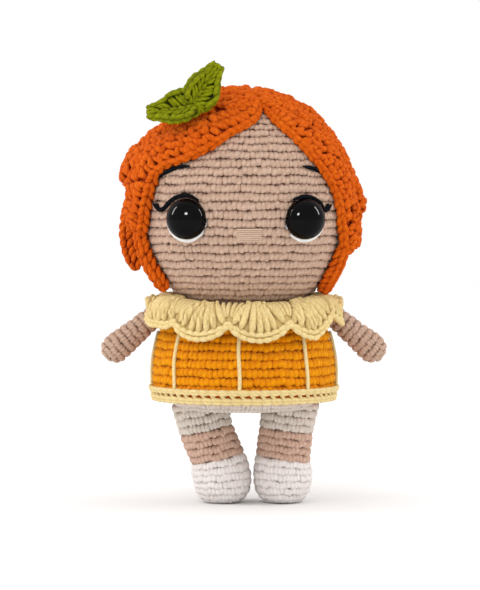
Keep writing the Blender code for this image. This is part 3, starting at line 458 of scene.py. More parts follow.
def v_stitches(
    place, found, lift, thick, spread=0.27, foot=0.205, bulge=0.0005, wide=1.2, tint=0.2, deep=1.0,
):
    """Single crochet: each stitch shows two thick legs that start apart, tucked under the round above, swell
    outwards and come nearer at the foot, whose round end lies over the start of the round below. Around is
    the centre plus or minus a share of the width that falls from spread to foot; LEG_RISE times the bulge is
    added to the lift, LEG_GIRTH times the thickness is the girth, and the leg's table of painted shade times
    the last argument is each step's painted shade."""
    centre, width, low, high = (value[:, None, None] for value in found)
    hand = np.array([-1.0, 1.0])[None, :, None]
    share = LEG_SHARE[None, None, :]
    wobble = rng.normal(0.0, 0.018, (found.shape[1], 2, 1))
    around = centre + width * (hand * (spread + (foot - spread) * share ** 1.4) + wobble * (1.0 - share))
    longer = rng.normal(0.0, 0.055, (found.shape[1], 2, 1))
    up = high + (low - high) * (share - 0.02) + (high - low) * longer
    raised = lift + bulge * LEG_RISE + rng.normal(0.0, 0.00006, (found.shape[1], 2, 1))
    around, up, raised = (value.reshape(-1, 6) for value in np.broadcast_arrays(around, up, raised))
    paths, outs = lie_on(place, around, up, raised)
    girth = thick * LEG_GIRTH * (1.0 + uneven(0.06, len(paths)))
    return yarn(paths, outs, girth, wide=wide, tint=tint, shade_amount=LEG_SHADE * deep, side_shading=0.16)


white_yarn = yarn_finish("white cotton yarn", (226, 218, 215), (236, 231, 228), (184, 174, 168), ply=0.3)
# The white cloth is greyer than the yarn: painted shade between the stitches.
white_shade_cloth = under_finish("white cotton cloth", (198, 190, 182), (166, 156, 146))
sole_plastic = under_finish("sole sheet plastic", (236, 236, 230), (226, 226, 220))
YARN_HALF = 0.00090


def leg_spine(side):
    """The leaning line of a leg: rings round it tip sideways by the lean, fully so above the shoe."""
    lean, line = LEG_SIDES[side]

    def spine(x, y, height):
        """Beside the leg's middle by x, which the lean tips, and by y, which is longer low in the shoe."""
        tip = np.radians(lean) * np.clip((height - 0.0042) / (SHOE_HEIGHT - 0.0042), 0.0, 1.0)
        oval = 1.0 + 0.12 * np.clip(1.0 - height / SHOE_HEIGHT, 0.0, 1.0)
        middle = np.interp(height, LEG_HEIGHTS, line)
        across = middle + x * np.cos(tip)
        return np.stack([across, AXIS_Y + LEG_FORWARD + y * oval, height - x * np.sin(tip)], axis=-1)

    return spine


def worked(
    name, body, place, rows, width, cloth, yarn_kind, nodes,
    keep=None, lift=-0.00085, thick=YARN_HALF, sunk=0.0013, fill=0.9, **stitch,
):
    """A stuffed crocheted piece: its closed cloth, which lies sunk below the surface and stands for the CAD
    nodes, its colour painted shade between the stitches, and its rounds of stitches, lifted off the surface
    by lift."""
    levels = max(12, int(place.way[-1] / 0.0014))
    heights = np.linspace(place.way[0] + 0.0002, place.way[-1] - 0.0002, levels)
    made = piece(name + "_cloth", cover(place, full_turn(56), heights, -sunk), cloth, body)
    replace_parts(made, *nodes)
    stitches = v_stitches(place, rounds(place, rows, width, keep), lift, thick, **stitch)
    piece(name + "_stitches", stitches, yarn_kind, body)


SOLE_EDGE = 0.0092
for side in ("left", "right"):
    shoe = turned(SHOE_OUTLINE, leg_spine(side))
    sole_rows = np.linspace(0.0012, SOLE_EDGE, 4)
    side_rows = np.linspace(SOLE_EDGE, shoe.way[-1] - 0.0002, 7)
    worked(
        side + "_shoe", "trunk", shoe, np.concatenate([sole_rows, side_rows[1:]]), 0.0034,
        white_shade_cloth, white_yarn, [side + "_shoe", side + "_leg_stuffing"],
        bulge=0.00026, thick=0.00100, lift=-0.00078, deep=0.5,
    )
    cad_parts[side + "_insole"].material_slots[0].material = sole_plastic


# Legs: four rounds of skin-coloured cotton, a little paler than the face, that go on upwards from the shoe.
# They are worked so firmly that each stitch is a block with a hole at its corners.
LEG_RADIUS = 0.0112
skin_yarn = yarn_finish("skin cotton yarn", (183, 151, 130), (203, 174, 154), (98, 66, 50), ply=0.55)
# The skin cloth is much darker than the yarn: painted shade between the stitches.
skin_shade_cloth = under_finish("skin cotton cloth", (136, 102, 84), (104, 74, 58))
leg_yarn = yarn_finish("pale skin cotton yarn", (194, 160, 140), (212, 181, 163), (124, 86, 64), ply=0.55)
LEG_OUTLINE = [(LEG_RADIUS, height) for height in (SHOE_HEIGHT - 0.0006, 0.0250, CUFF_Z + 0.0006)]
for side in ("left", "right"):
    leg = turned(LEG_OUTLINE, leg_spine(side))
    worked(
        side + "_leg", "trunk", leg, np.linspace(0.0004, leg.way[-1] - 0.0004, 5), 0.0036,
        skin_shade_cloth, leg_yarn, [side + "_leg"],
        spread=0.255, foot=0.235, thick=0.00100, lift=-0.00078, deep=0.6,
    )


# Trouser legs: rounds of white cotton that go on upwards from the skin-coloured ones. Both legs are joined
# in the round above, and the trunk is worked on from there.
THIGH_RADIUS = 0.0118
# The trousers' white is drawn greyer and warmer than the shoes': painted shade under the dress.
shaded_white_yarn = yarn_finish("trouser cotton yarn", (206, 195, 183), (222, 212, 202), (154, 141, 128), ply=0.3)
TROUSER_OUTLINE = [
    (LEG_RADIUS, CUFF_Z + 0.0002), (THIGH_RADIUS, CROTCH_Z), (THIGH_RADIUS + 0.0003, 0.0446),
]
for side in ("left", "right"):
    trouser = turned(TROUSER_OUTLINE, leg_spine(side))
    worked(
        side + "_trouser", "trunk", trouser, np.linspace(0.0002, trouser.way[-1], 5), 0.0035,
        white_shade_cloth, shaded_white_yarn, [side + "_trouser_leg"],
        bulge=0.00034, thick=0.00096, lift=-0.00078, deep=0.7,
    )


# Trunk: a bag of white cotton rounds, stuffed hard with fibre. It is seen only between the legs and inside
# the hem, because the dress is pulled over it.
DRESS_RADIUS = 0.0390
DRESS_BOTTOM_Z = 0.0486
NECK_Z = 0.0857


def upright(x, y, height):
    """The trunk, the dress and the hem stand upright about the doll's middle."""
    return np.stack([x, y + AXIS_Y, height], axis=-1)


TRUNK_OUTLINE = [
    (0.0, CROTCH_Z), (0.016, CROTCH_Z), (0.0262, 0.0408), (0.0298, 0.0422), (0.0315, 0.0453),
    (0.0320, 0.0530), (0.0318, 0.0628), (0.0312, 0.0720), (0.0295, 0.0765), (0.0262, 0.0800),
    (0.0205, 0.0822), (0.0100, 0.0826), (0.0, 0.0826),
]
trunk = turned(TRUNK_OUTLINE, upright)
# The trunk's white is the trousers' greyer one: painted shade under the dress.
worked(
    "trunk", "trunk", trunk, np.linspace(0.0040, 0.0440, 12), 0.0036, white_shade_cloth, shaded_white_yarn,
    ["trunk_cover", "trunk_stuffing"], bulge=0.00034, thick=0.00096, deep=0.7,
)


# Dress: an orange barrel of single crochet in thicker cotton, worked in rounds and pulled over the trunk.
# Eight smooth cream yarns run down over it, sewn on at both ends; the two beside the arms end lower.
DRESS_OUTLINE = [
    (0.995, 0.0), (1.0, 0.225), (0.987, 0.390), (0.949, 0.579),
    (0.903, 0.754), (0.846, 0.881), (0.744, 0.962), (0.615, 1.0),
]
DRESS_HEIGHT = NECK_Z - DRESS_BOTTOM_Z
dress_yarn = yarn_finish(
    "dress cotton yarn", (208, 118, 2), (236, 156, 10), (166, 66, 1), ply=0.35, sheen=0.35, shine=0.06,
    hairs=(1.0, 0.70, 0.06),
)
# The dress cloth is a darker orange than the yarn: painted shade between the stitches.
dress_shade_cloth = under_finish("dress cotton cloth", (194, 82, 4), (160, 60, 2))
dress = turned([(DRESS_RADIUS * r, DRESS_BOTTOM_Z + DRESS_HEIGHT * h) for r, h in DRESS_OUTLINE], upright)
worked(
    "dress", "trunk", dress, np.linspace(0.0, 0.0408, 12), 0.0047, dress_shade_cloth, dress_yarn, ["dress"],
    fill=0.8, thick=0.00096, wide=1.64, foot=0.20, tint=0.3,
)

cream_yarn = yarn_finish(
    "cream cotton yarn", (216, 190, 130), (233, 213, 156), (176, 147, 88), ply=0.45, shine=0.08,
)
LINE_HALF = 0.00080
BESIDE_ARMS = (2, 6)
for number in range(8):
    turn = math.radians(-3.0 + 45.0 * number - 90.0)
    up = np.linspace(0.0004, 0.0250 if number in BESIDE_ARMS else 0.0360, 18)[None]
    swing = turn + 0.008 * np.sin(up / 0.0365 * 9.0 + number)
    path, out = lie_on(dress, swing, up, 0.00075)
    laid = yarn(path, out, LINE_HALF, wide=1.05, sides=8)
    line = piece(f"dress_line_{number + 1}", laid, cream_yarn, "trunk")
    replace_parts(line, f"dress_segment_line_{number + 1}")


# Hem: two chains of cream cotton round the dress's lower edge, crocheted onto it one after the other. Short
# slanting loops tie them together, with the orange showing between.
HEM_LOOPS = 58
HEM_LOW_Z = 0.0452
HEM_HIGH_Z = 0.0506
HEM_RADIUS = 0.0394
hem = turned([(HEM_RADIUS - 0.0010, HEM_LOW_Z), (HEM_RADIUS + 0.0003, HEM_HIGH_Z)], upright)
# The orange cloth under the chains is darker than the dress: painted shade between the loops.
hem_cloth = piece(
    "dress_hem_cloth", cover(hem, full_turn(96), np.linspace(0.0002, hem.way[-1] - 0.0010, 6), -0.0003),
    under_finish("hem cloth", (212, 96, 12), (184, 70, 6)), "trunk",
)
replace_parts(hem_cloth, "dress_hem")


def chain(place, starts, pitch, height, lift, thick, apart, long=1.45):
    """A crocheted chain along a round: every link is two strands that run beside each other and on into the
    next link, over long times the pitch. They bow out from the chain's middle line, one up and one down, by
    apart times the sum of 0.35 and 0.65 of a power of the sine of the share."""
    share = np.linspace(0.0, 1.0, 6)[None, None, :]
    hand = np.array([-1.0, 1.0])[None, :, None]
    around = starts[:, None, None] + pitch * (share * long - 0.2)
    up = height + hand * apart * (0.35 + 0.65 * np.sin(math.pi * share) ** 0.8)
    raised = lift + 0.00030 * (np.sin(math.pi * share) * 2.0 - 1.0)
    around, up, raised = (value.reshape(-1, 6) for value in np.broadcast_arrays(around, up, raised))
    paths, outs = lie_on(place, around, up, raised)
    girth = thick * np.array([0.6, 0.95, 1.1, 1.1, 0.9, 0.55])
    # Painted shade at each link's ends, where it dips into the cloth.
    return yarn(paths, outs, girth, shade_amount=np.array([0.5, 0.1, 0.0, 0.0, 0.1, 0.5]))


def shares(count):
    """So many even shares of a strand's length, 0 to 1, as one row."""
    return np.linspace(0.0, 1.0, count)[None, :]


loop_turns = full_turn(HEM_LOOPS)
hem_top = chain(hem, loop_turns, math.tau / HEM_LOOPS, 0.0047, 0.0004, 0.00082, 0.00055)
hem_low = chain(hem, loop_turns + 0.03, math.tau / HEM_LOOPS, 0.0009, 0.0003, 0.00090, 0.00070)
share = shares(5)
start = loop_turns[:, None] + 0.012 + 0.064 * share
paths, outs = lie_on(hem, start, 0.0044 - 0.0032 * share, 0.0003 * np.sin(math.pi * share))
ties = yarn(paths, outs, 0.00078, wide=1.1)
piece("dress_hem_chains", [hem_top, hem_low, ties], cream_yarn, "trunk")


# Collar: ten shell fans of cream cotton, crocheted outwards from one neckline in one piece. In each fan
# thick posts, with yarn wrapped round them, spread from one point to a chained edge. It lies loose over
# dress and arms.
FANS = 10
FAN_TURN = math.tau / FANS
FAN_START = -9.0
ARM_Z = NECK_Z - 0.0056
COLLAR_Z = 0.0855
NECKLINE_RADIUS = 0.0260
COLLAR_EDGE_RADIUS = 0.0412
COLLAR_WAY = 0.02
FALL_SHARES = (0.0, 0.05, 0.24, 0.58, 1.0)
GROW_SHARES = (0.0, 0.30, 0.62, 0.88, 1.0)


def eased_shares(reach, steps):
    """Shares read at a reach from 0 to 1 between even steps, with the corners eased by the mean of nine."""
    table = np.linspace(0.0, 1.0, 41)
    eased = np.interp(table, np.linspace(0.0, 1.0, len(steps)), steps)
    return np.interp(reach, table, np.convolve(np.pad(eased, 4, mode="edge"), np.full(9, 1 / 9), "valid"))


ARM_ROOM = 0.0062
ARM_FLANK = 0.0044


def collar_place(around, out):
    """The collar at a turn and a share of the way from neckline to edge. The radius grows quickly and then
    slowly, with a puff by a sine; the height falls slowly and then quickly, further where a fan is full, that
    is by a power of the sine of the turn, and less beside the arms. Over each arm's round top it lifts."""
    turn = around + math.pi / 2.0 - math.radians(FAN_START)
    swell = np.abs(np.sin(turn * FANS / 2.0)) ** 0.7
    reach = np.clip(out, 0.0, 1.0)
    fall, grow = eased_shares(reach, FALL_SHARES), eased_shares(reach, GROW_SHARES)
    radius = NECKLINE_RADIUS + (COLLAR_EDGE_RADIUS - NECKLINE_RADIUS) * grow
    radius = radius + 0.0014 * swell * np.sin(math.pi * 0.85 * reach)
    beside_arm = np.clip((np.abs(np.cos(around)) - 0.70) / 0.16, 0.0, 1.0)
    height = COLLAR_Z - (0.0138 + 0.0060 * (swell - 1.0)) * (1.0 - 0.36 * beside_arm) * fall
    height = height - 0.0009 * fall * np.clip(-np.sin(around), 0.0, 1.0) ** 8
    height = height + 0.0034 * np.abs(np.cos(around)) ** 3 * np.sin(math.pi * np.clip(reach / 0.8, 0.0, 1.0))
    x, y = radius * np.cos(around), radius * np.sin(around)
    aside = np.abs(y)
    arm_top = np.sqrt(np.maximum(ARM_ROOM ** 2 - aside ** 2, 0.0))
    over = ARM_Z + np.where(aside < ARM_FLANK, arm_top, ARM_FLANK - 2.0 * (aside - ARM_FLANK))
    height = np.where(reach > 0.05, np.maximum(height, over), height)
    return np.stack([x, y + AXIS_Y, height], axis=-1)


def down_collar(around, up):
    """The same surface with its way reckoned upwards from the edge, as the other surfaces have it; COLLAR_WAY
    is the way to the neckline."""
    return collar_place(around, 1.0 - up / COLLAR_WAY)


def folded(front, back):
    """Cloth with a front and a back: the rows of the front run on into those of the back and the columns
    close round, so that it has no open edge."""
    grid = np.concatenate([front, back[::-1]])
    rows, columns = grid.shape[:2]
    spot = np.arange(rows * columns).reshape(rows, columns)
    below, after = np.roll(spot, -1, axis=0), np.roll(spot, -1, axis=1)
    quads = np.stack([spot, below, np.roll(below, -1, axis=1), after], axis=-1).reshape(-1, 4)
    return plain(grid.reshape(-1, 3), quads, np.zeros((0, 3), int))


around, out = np.meshgrid(full_turn(240), np.linspace(0.0, 0.96, 12), indexing="xy")
top, ways = lie_on(down_collar, around, (1.0 - out) * COLLAR_WAY, 0.0005)
# The collar cloth's darker tone is painted shade between the posts.
collar_shade_cloth = under_finish("collar cloth", (214, 188, 128), (196, 169, 110))
collar_cloth = piece("collar_cloth", folded(top, top - ways * 0.0009), collar_shade_cloth, "trunk")
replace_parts(collar_cloth, "collar")


def post_turn(lean, share):
    """How far round from its fan's middle a post is at a share of its length: a part of the fan's turn times
    the lean, which grows with a power of the share."""
    return FAN_TURN * lean * (0.03 + 0.40 * share ** 0.8)


POST_GIRTH = 0.00125 * np.array([0.42, 0.60, 0.78, 0.92, 1.02, 1.12, 1.16, 1.06, 0.7])
# Painted shade at each post's ends, and on the sides of posts, wraps and gussets.
POST_SHADE = np.array([0.4, 0.2, 0.05, 0.0, 0.0, 0.0, 0.0, 0.1, 0.4])
WRAP_GIRTH = 0.00080 * np.array([0.6, 1.0, 1.1, 1.0, 0.6])
GUSSET_GIRTH = 0.00105 * np.array([0.7, 0.95, 1.1, 1.1, 0.95, 0.6])
fan_strands = []
fan_middles = np.radians(FAN_START - 90.0 + 360.0 / FANS * (np.arange(FANS) + 0.5))[:, None]
for lean in (np.arange(7) - 3.0) / 3.0:
    reach = 0.88 - 0.10 * abs(lean)
    share = shares(9)
    shake = uneven(0.008, FANS)
    raised = 0.0008 + 0.0010 * np.sin(math.pi * share) + uneven(0.0002, FANS)
    up = (1.0 - (0.04 + reach * share)) * COLLAR_WAY
    paths, outs = lie_on(down_collar, fan_middles + post_turn(lean, share) + shake, up, raised)
    fan_strands.append(yarn(paths, outs, POST_GIRTH, wide=1.15, shade_amount=POST_SHADE, side_shading=0.3))
    share = shares(5)
    for level, slant in ((0.24, 0.16), (0.42, 0.18), (0.60, 0.20), (0.78, 0.20)):
        middle = fan_middles + post_turn(lean, level) + shake
        out = 0.04 + reach * (level + uneven(0.03, FANS) + slant * (share - 0.5))
        half = FAN_TURN * (0.012 + 0.022 * level)
        lift = 0.0012 + 0.0007 * level + 0.0010 * np.sin(math.pi * share)
        paths, outs = lie_on(down_collar, middle + half * (2.0 * share - 1.0), (1.0 - out) * COLLAR_WAY, lift)
        fan_strands.append(yarn(paths, outs, WRAP_GIRTH, shade_amount=0.0, side_shading=0.35))

for gusset in (-1.5, -0.5, 0.5, 1.5):
    share = shares(6)
    start = fan_middles + 0.5 * FAN_TURN + FAN_TURN * gusset * (0.17 - 0.13 * share)
    lift = 0.0009 + 0.0006 * np.sin(math.pi * share)
    paths, outs = lie_on(down_collar, start, (0.95 - 0.62 * share) * COLLAR_WAY, lift)
    fan_strands.append(yarn(paths, outs, GUSSET_GIRTH, side_shading=0.45))
EDGE_LINKS = 8 * FANS
edge_turns = np.radians(FAN_START - 90.0) + (np.arange(EDGE_LINKS) + 0.5) / EDGE_LINKS * math.tau
edge = chain(down_collar, edge_turns, math.tau / EDGE_LINKS, 0.0011, 0.0012, 0.00112, 0.0013, long=1.3)
fan_strands.append(edge)
collar_stitches = piece("collar_stitches", fan_strands, cream_yarn, "trunk")


# Arms: stuffed tubes of skin-coloured rounds that narrow to a ball at the shoulder. Each is sewn to the
# dress by a ring of yarn under the collar, and swings on that.
ARM_LENGTH = 0.0210
HAND_RADIUS = 0.0062
ARM_ROOT = 0.0046
ARM_OUTLINE = [(0.0, -0.0044), (0.0022, -0.0041), (0.0036, -0.0028), (ARM_ROOT, 0.0)]
ARM_OUTLINE += [
    (ARM_ROOT + (HAND_RADIUS - ARM_ROOT) * share ** 1.3, ARM_LENGTH * share)
    for share in (0.15, 0.35, 0.6, 0.86)
]
ARM_OUTLINE += [
    (HAND_RADIUS * math.sin(math.radians(a)), ARM_LENGTH + HAND_RADIUS * math.cos(math.radians(a)))
    for a in range(90, -1, -15)
]
PIVOT_X = 0.038971
ARM_SLOPE = math.radians(40.0)


def seam_round(node, radius, count, first, second):
    """Places round the middle of a CAD seam: the radius times the first way by the cosine of the turn and
    the second by its sine."""
    low, high = (np.array(corner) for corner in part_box(node))
    turn = np.linspace(0.0, math.tau, count)[:, None]
    return 0.5 * (low + high) + radius * (np.cos(turn) * np.array(first) + np.sin(turn) * np.array(second))


for side, sign in (("left", 1.0), ("right", -1.0)):

    def arm_spine(x, y, height, sign=sign):
        """The arm's own axis runs outwards and down from the shoulder."""
        away = height * math.cos(ARM_SLOPE) + x * math.sin(ARM_SLOPE)
        rise = -height * math.sin(ARM_SLOPE) + x * math.cos(ARM_SLOPE)
        return np.stack([sign * (PIVOT_X + away), sign * -y + AXIS_Y, ARM_Z + rise], axis=-1)

    arm = turned(ARM_OUTLINE, arm_spine)
    worked(
        side + "_arm", side + "_arm", arm, np.linspace(0.0030, arm.way[-1] - 0.0006, 12), 0.0031,
        skin_shade_cloth, skin_yarn, [side + "_arm", side + "_arm_stuffing"], fill=0.8, sunk=0.0014, lift=-0.00095,
    )
    seam = side + "_shoulder_seam"
    ring = seam_round(seam, 0.0032, 25, (0.0, 1.0, 0.0), (-0.43 * sign, 0.0, 0.90))
    outs = np.broadcast_to(np.array([0.90 * sign, 0.0, 0.43]), ring.shape)
    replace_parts(piece(seam + "_yarn", yarn(ring[None], outs[None], 0.0003), skin_yarn, "trunk"), seam)


# Head: a stuffed ball of skin-coloured single crochet, worked in rounds from the crown and sewn to the
# trunk by a ring of yarn at its underside. The hair cap hides its upper part, and no stitches are made
# there.
HEAD_Z = 0.12794
HEAD_RADIUS = 0.0436
HEAD_RISE = 0.0460
HEAD_DROP = 0.0480
HEAD_STITCH = 0.0041
EYE_SEAT = 0.0082
EYE_POLAR = 95.5
EYE_AZIMUTHS = {"left": 34.8, "right": -32.6}


def head_half(height):
    """The fullness of the head's upper or lower half, and how far that half reaches up or down."""
    return np.where(height > 0.0, 2.1, 2.2), np.where(height > 0.0, HEAD_RISE, HEAD_DROP)


def head_outline(polar):
    """Radius and height of the head at an angle from its crown: powers of the sine and the cosine, with the
    exponent 2 over the fullness of the upper or the lower half."""
    up = np.cos(polar)
    full, reach = head_half(up)
    power = 2.0 / full
    return HEAD_RADIUS * np.abs(np.sin(polar)) ** power, np.sign(up) * reach * np.abs(up) ** power


def head_point(azimuth, polar, lift=0.0):
    """A place on the head, in degrees from the face towards its left and from the crown, raised by lift
    square to the surface."""
    azimuth, polar = np.radians(azimuth), np.radians(polar)
    radius, height = head_outline(polar)
    full, reach = head_half(height)
    slope = np.stack([
        (radius / HEAD_RADIUS) ** (full - 1.0) / HEAD_RADIUS,
        np.sign(height) * (np.abs(height) / reach) ** (full - 1.0) / reach,
    ])
    slope = slope / np.linalg.norm(slope, axis=0)
    radius, height = radius + lift * slope[0], height + lift * slope[1]
    return np.stack([radius * np.sin(azimuth), AXIS_Y - radius * np.cos(azimuth), HEAD_Z + height], axis=-1)


def head_out(azimuth, polar):
    """The outward way of the head at a place."""
    return unit(head_point(azimuth, polar, 0.001) - head_point(azimuth, polar))


def head_spine(x, y, height):
    """The head stands upright above the doll's middle."""
    return np.stack([x, y + AXIS_Y, HEAD_Z + height], axis=-1)


head_polar = np.radians(np.linspace(180.0, 0.0, 200))
head = turned(np.stack(head_outline(head_polar), axis=1), head_spine)
CAP_EDGE = np.array([
    (-180.0, 124.0), (-120.0, 121.0), (-95.0, 112.0), (-80.0, 103.0), (-68.0, 92.0),
    (-62.0, 74.0), (-50.0, 65.0), (-36.0, 62.0), (-24.0, 58.0), (-12.0, 49.0),
    (0.0, 40.0), (12.0, 30.0), (20.0, 26.0), (28.0, 40.0), (36.0, 50.0), (46.0, 60.0),
    (56.0, 74.0), (64.0, 88.0), (70.0, 97.0), (90.0, 106.0), (120.0, 119.0), (180.0, 124.0),
])


def over_cap_edge(points):
    """Polar angle of places on the head, and how much of it lies past the edge of the hair cap."""
    azimuth = np.degrees(np.arctan2(points[:, 0], -(points[:, 1] - AXIS_Y)))
    height = points[:, 2] - HEAD_Z
    full, reach = head_half(height)
    share = np.clip(np.abs(height) / reach, 0.0, 1.0)
    polar = np.degrees(np.arccos(np.sign(height) * share ** (full / 2.0)))
    return polar, polar - np.interp(azimuth, CAP_EDGE[:, 0], CAP_EDGE[:, 1])


def below_cap(points):
    """True for places on the head that the hair cap leaves bare, and outside the eyes' seats."""
    polar, past = over_cap_edge(points)
    bare = past > -1.0
    for eye in EYE_AZIMUTHS.values():
        bare &= np.linalg.norm(points - head_point(eye, EYE_POLAR), axis=1) > EYE_SEAT
    return bare


head_rounds = np.linspace(0.0095, head.way[-1] - 0.004, 37)
worked(
    "head", "head", head, head_rounds, HEAD_STITCH, skin_shade_cloth, skin_yarn, ["head_cover", "head_stuffing"],
    fill=0.85, keep=below_cap, wide=1.62, spread=0.315, foot=0.165,
)
ring = seam_round("neck_seam", 0.0205, 61, (1.0, 0.0, 0.0), (0.0, 1.0, 0.0))
outs = unit(ring - np.array([0.0, AXIS_Y, HEAD_Z]))
seam_yarn = piece("neck_seam_yarn", yarn(ring[None], outs[None], 0.0008), skin_yarn, "trunk")
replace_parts(seam_yarn, "neck_seam")


# Eyes: round black plastic buttons with a deep dome, each on a white felt disc that shows as a crescent
# below. A post through the head's cover and a washer inside hold them; the white plastic washers keep the
# CAD's shape.
EYE_RADIUS = 0.0087
EYE_DEPTH = 0.0064
EYE_TILT = 13.0
eye_plastic, eye_shader, eye_dye, eye_place = bare_finish("black glossy plastic", 0.5, 0.08)
eye_dust = eye_dye.noise(eye_place, 260.0)
eye_dye.blend(eye_dust, screen(6, 6, 7), screen(13, 13, 15)).feed(eye_shader, "Base Color")
(eye_dust * 0.05 + 0.05).feed(eye_shader, "Roughness")
felt = under_finish("white felt", (238, 238, 236), (214, 214, 210))


def on_head(azimuth, polar, aside=0.0, down=0.0):
    """A spine that stands on the head and is tipped forwards a little: its x runs to the doll's left, its y
    up and its height outwards."""
    out = head_out(azimuth - math.copysign(EYE_TILT, azimuth), polar)
    side = unit(np.cross(np.array([0.0, 0.0, 1.0]), out))
    rise = np.cross(out, side)
    middle = head_point(azimuth, polar) + side * aside - rise * down

    def spine(x, y, height):
        """The middle plus x, y and the height times their three ways."""
        return middle + side * x[..., None] + rise * y[..., None] + out * height[..., None]

    return spine


FELT_OUTLINE = [
    (0.0, -0.0020), (0.0086, -0.0020), (0.0093, -0.0014), (0.0094, 0.0008), (0.0089, 0.0012), (0.0, 0.0012),
]
DOME_OUTLINE = [(0.0, -0.0010), (0.0080, -0.0010), (EYE_RADIUS - 0.0002, -0.0004)]
DOME_OUTLINE += [
    (EYE_RADIUS * math.sin(math.radians(a)), 0.0021 + EYE_DEPTH * math.cos(math.radians(a)))
    for a in range(90, -1, -10)
]


def all_round(solid, count, rows):
    """The whole surface of a turned solid, but for a point at each end of its outline."""
    return cover(solid, full_turn(count), np.linspace(0.0002, solid.way[-1] - 0.0002, rows))


for side, azimuth in EYE_AZIMUTHS.items():
    felt_disc = turned(FELT_OUTLINE, on_head(azimuth, EYE_POLAR, math.copysign(0.0005, azimuth), 0.0008))
    disc = piece(side + "_eye_white_felt", all_round(felt_disc, 48, 24), felt, "head")
    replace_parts(disc, side + "_eye_white")
    button = turned(DOME_OUTLINE, on_head(azimuth, EYE_POLAR))
    shown = piece(side + "_eye_button", all_round(button, 64, 48), eye_plastic, "head")
    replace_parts(shown, side + "_eye")
    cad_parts[side + "_eye_washer"].material_slots[0].material = sole_plastic


# Embroidery: lashes and brows of thick black cotton, each sewn as one long stitch in and out of the head's
# cover, with a short lash at the outer end. The nose is a small pad of pale strands side by side.
SEWN_STEPS = 22
LASH_HALF = 0.00098
BROW_HALF = 0.00085
black_yarn = yarn_finish(
    "black cotton yarn", (13, 14, 17), (30, 33, 38), (4, 4, 6), ply=0.6, sheen=0.0, shine=0.03,
)
ROUTES = {
    "left_lash": [
        [
            (26.5, 87.6), (32.5, 86.2), (38.0, 86.5), (43.2, 88.2), (46.2, 90.5), (48.2, 91.8), (51.2, 92.0),
            (55.0, 89.8),
        ],
        [(50.2, 92.4), (52.6, 89.4)],
    ],
    "right_lash": [
        [
            (-24.5, 88.0), (-29.2, 86.0), (-33.2, 85.5), (-38.8, 86.5), (-42.8, 88.2), (-46.5, 90.5),
            (-50.0, 91.8), (-53.8, 91.5), (-58.5, 89.5),
        ],
        [(-52.8, 92.3), (-55.8, 89.3)],
    ],
    "left_brow": [[(35.5, 71.0), (39.2, 71.2), (42.8, 72.0), (46.5, 73.0), (50.2, 74.8), (53.5, 76.5)]],
    "right_brow": [
        [(-32.5, 71.0), (-36.5, 70.8), (-40.8, 71.2), (-45.2, 72.5), (-49.8, 74.2), (-54.8, 76.2)],
    ],
}
near_end = np.minimum(np.linspace(0.0, 1.0, SEWN_STEPS), np.linspace(1.0, 0.0, SEWN_STEPS))
for name, routes in ROUTES.items():
    lash = name.endswith("lash")
    taper = np.clip(0.45 + near_end * (3.0 if lash else 2.0), 0.0, 1.0)
    parts = []
    for number, route in enumerate(routes):
        azimuth, polar = rounded(route, SEWN_STEPS, ease=2.0).T
        long_lash = lash and number == 0
        rise = np.linspace(*((0.0022, 0.0011) if long_lash else (0.0010, 0.0010)), SEWN_STEPS)
        path = head_point(azimuth, polar, rise)
        half = LASH_HALF if long_lash else BROW_HALF
        parts.append(yarn(path[None], head_out(azimuth, polar)[None], half * taper, sides=8))
    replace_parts(piece(name + "_stitches", parts, black_yarn, "head"), name)

NOSE_AZIMUTH = 3.0
nose_yarn = yarn_finish("nose yarn", (196, 166, 144), (212, 186, 164), (124, 90, 68), ply=0.5)
azimuth, polar = np.meshgrid(NOSE_AZIMUTH + np.linspace(-7.2, 7.2, 9), np.linspace(100.4, 105.8, 7))
bow = 0.0010 * (1.0 - (np.abs(azimuth - NOSE_AZIMUTH) / 7.4) ** 6) - 0.0003
strands = yarn(head_point(azimuth, polar, bow), head_out(azimuth, polar), 0.00040)
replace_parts(piece("nose_stitches_yarn", strands, nose_yarn, "head"), "nose_stitches")


# Hair: a thin crocheted cap, and ten crocheted strips that fan out over it from a whorl above the forehead.
# Each strip has a smooth chain along both edges and rows of short leaning posts between them.
WHORL_AZIMUTH = math.radians(17.0)
WHORL_POLAR = math.radians(24.0)
hair_yarn = yarn_finish(
    "orange cotton yarn", (193, 77, 7), (221, 107, 24), (120, 36, 3), ply=0.5, sheen=0.0, shine=0.06,
)
# The orange cloth is darker than the yarn: painted shade between the stitches.
hair_shade_cloth = under_finish("orange cotton cloth", (168, 58, 7), (128, 38, 4))
cap_azimuth, cap_share = np.meshgrid(np.linspace(-180.0, 180.0, 97)[:-1], np.linspace(0.03, 1.0, 26))
cap_polar = np.interp(cap_azimuth, CAP_EDGE[:, 0], CAP_EDGE[:, 1]) * cap_share
cap_top, cap_bottom = (head_point(cap_azimuth, cap_polar, lift) for lift in (0.0018, 0.0006))
hair_cap = piece("hair_cap_cloth", folded(cap_top, cap_bottom), hair_shade_cloth, "head")
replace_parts(hair_cap, "hair_cap")


def cap_rim(points):
    """True for places on the cap's lower part, where no lock covers it at the sides; it begins higher up on
    the doll's right."""
    polar, past = over_cap_edge(points)
    return (polar > np.where(points[:, 0] < 0.0, 62.0, 84.0)) & (past < -2.0)


rim_found = rounds(head, head_rounds, HEAD_STITCH, keep=cap_rim)
rim_stitches = v_stitches(head, rim_found, 0.0011, YARN_HALF, wide=1.42)
piece("hair_cap_stitches", rim_stitches, hair_yarn, "head")

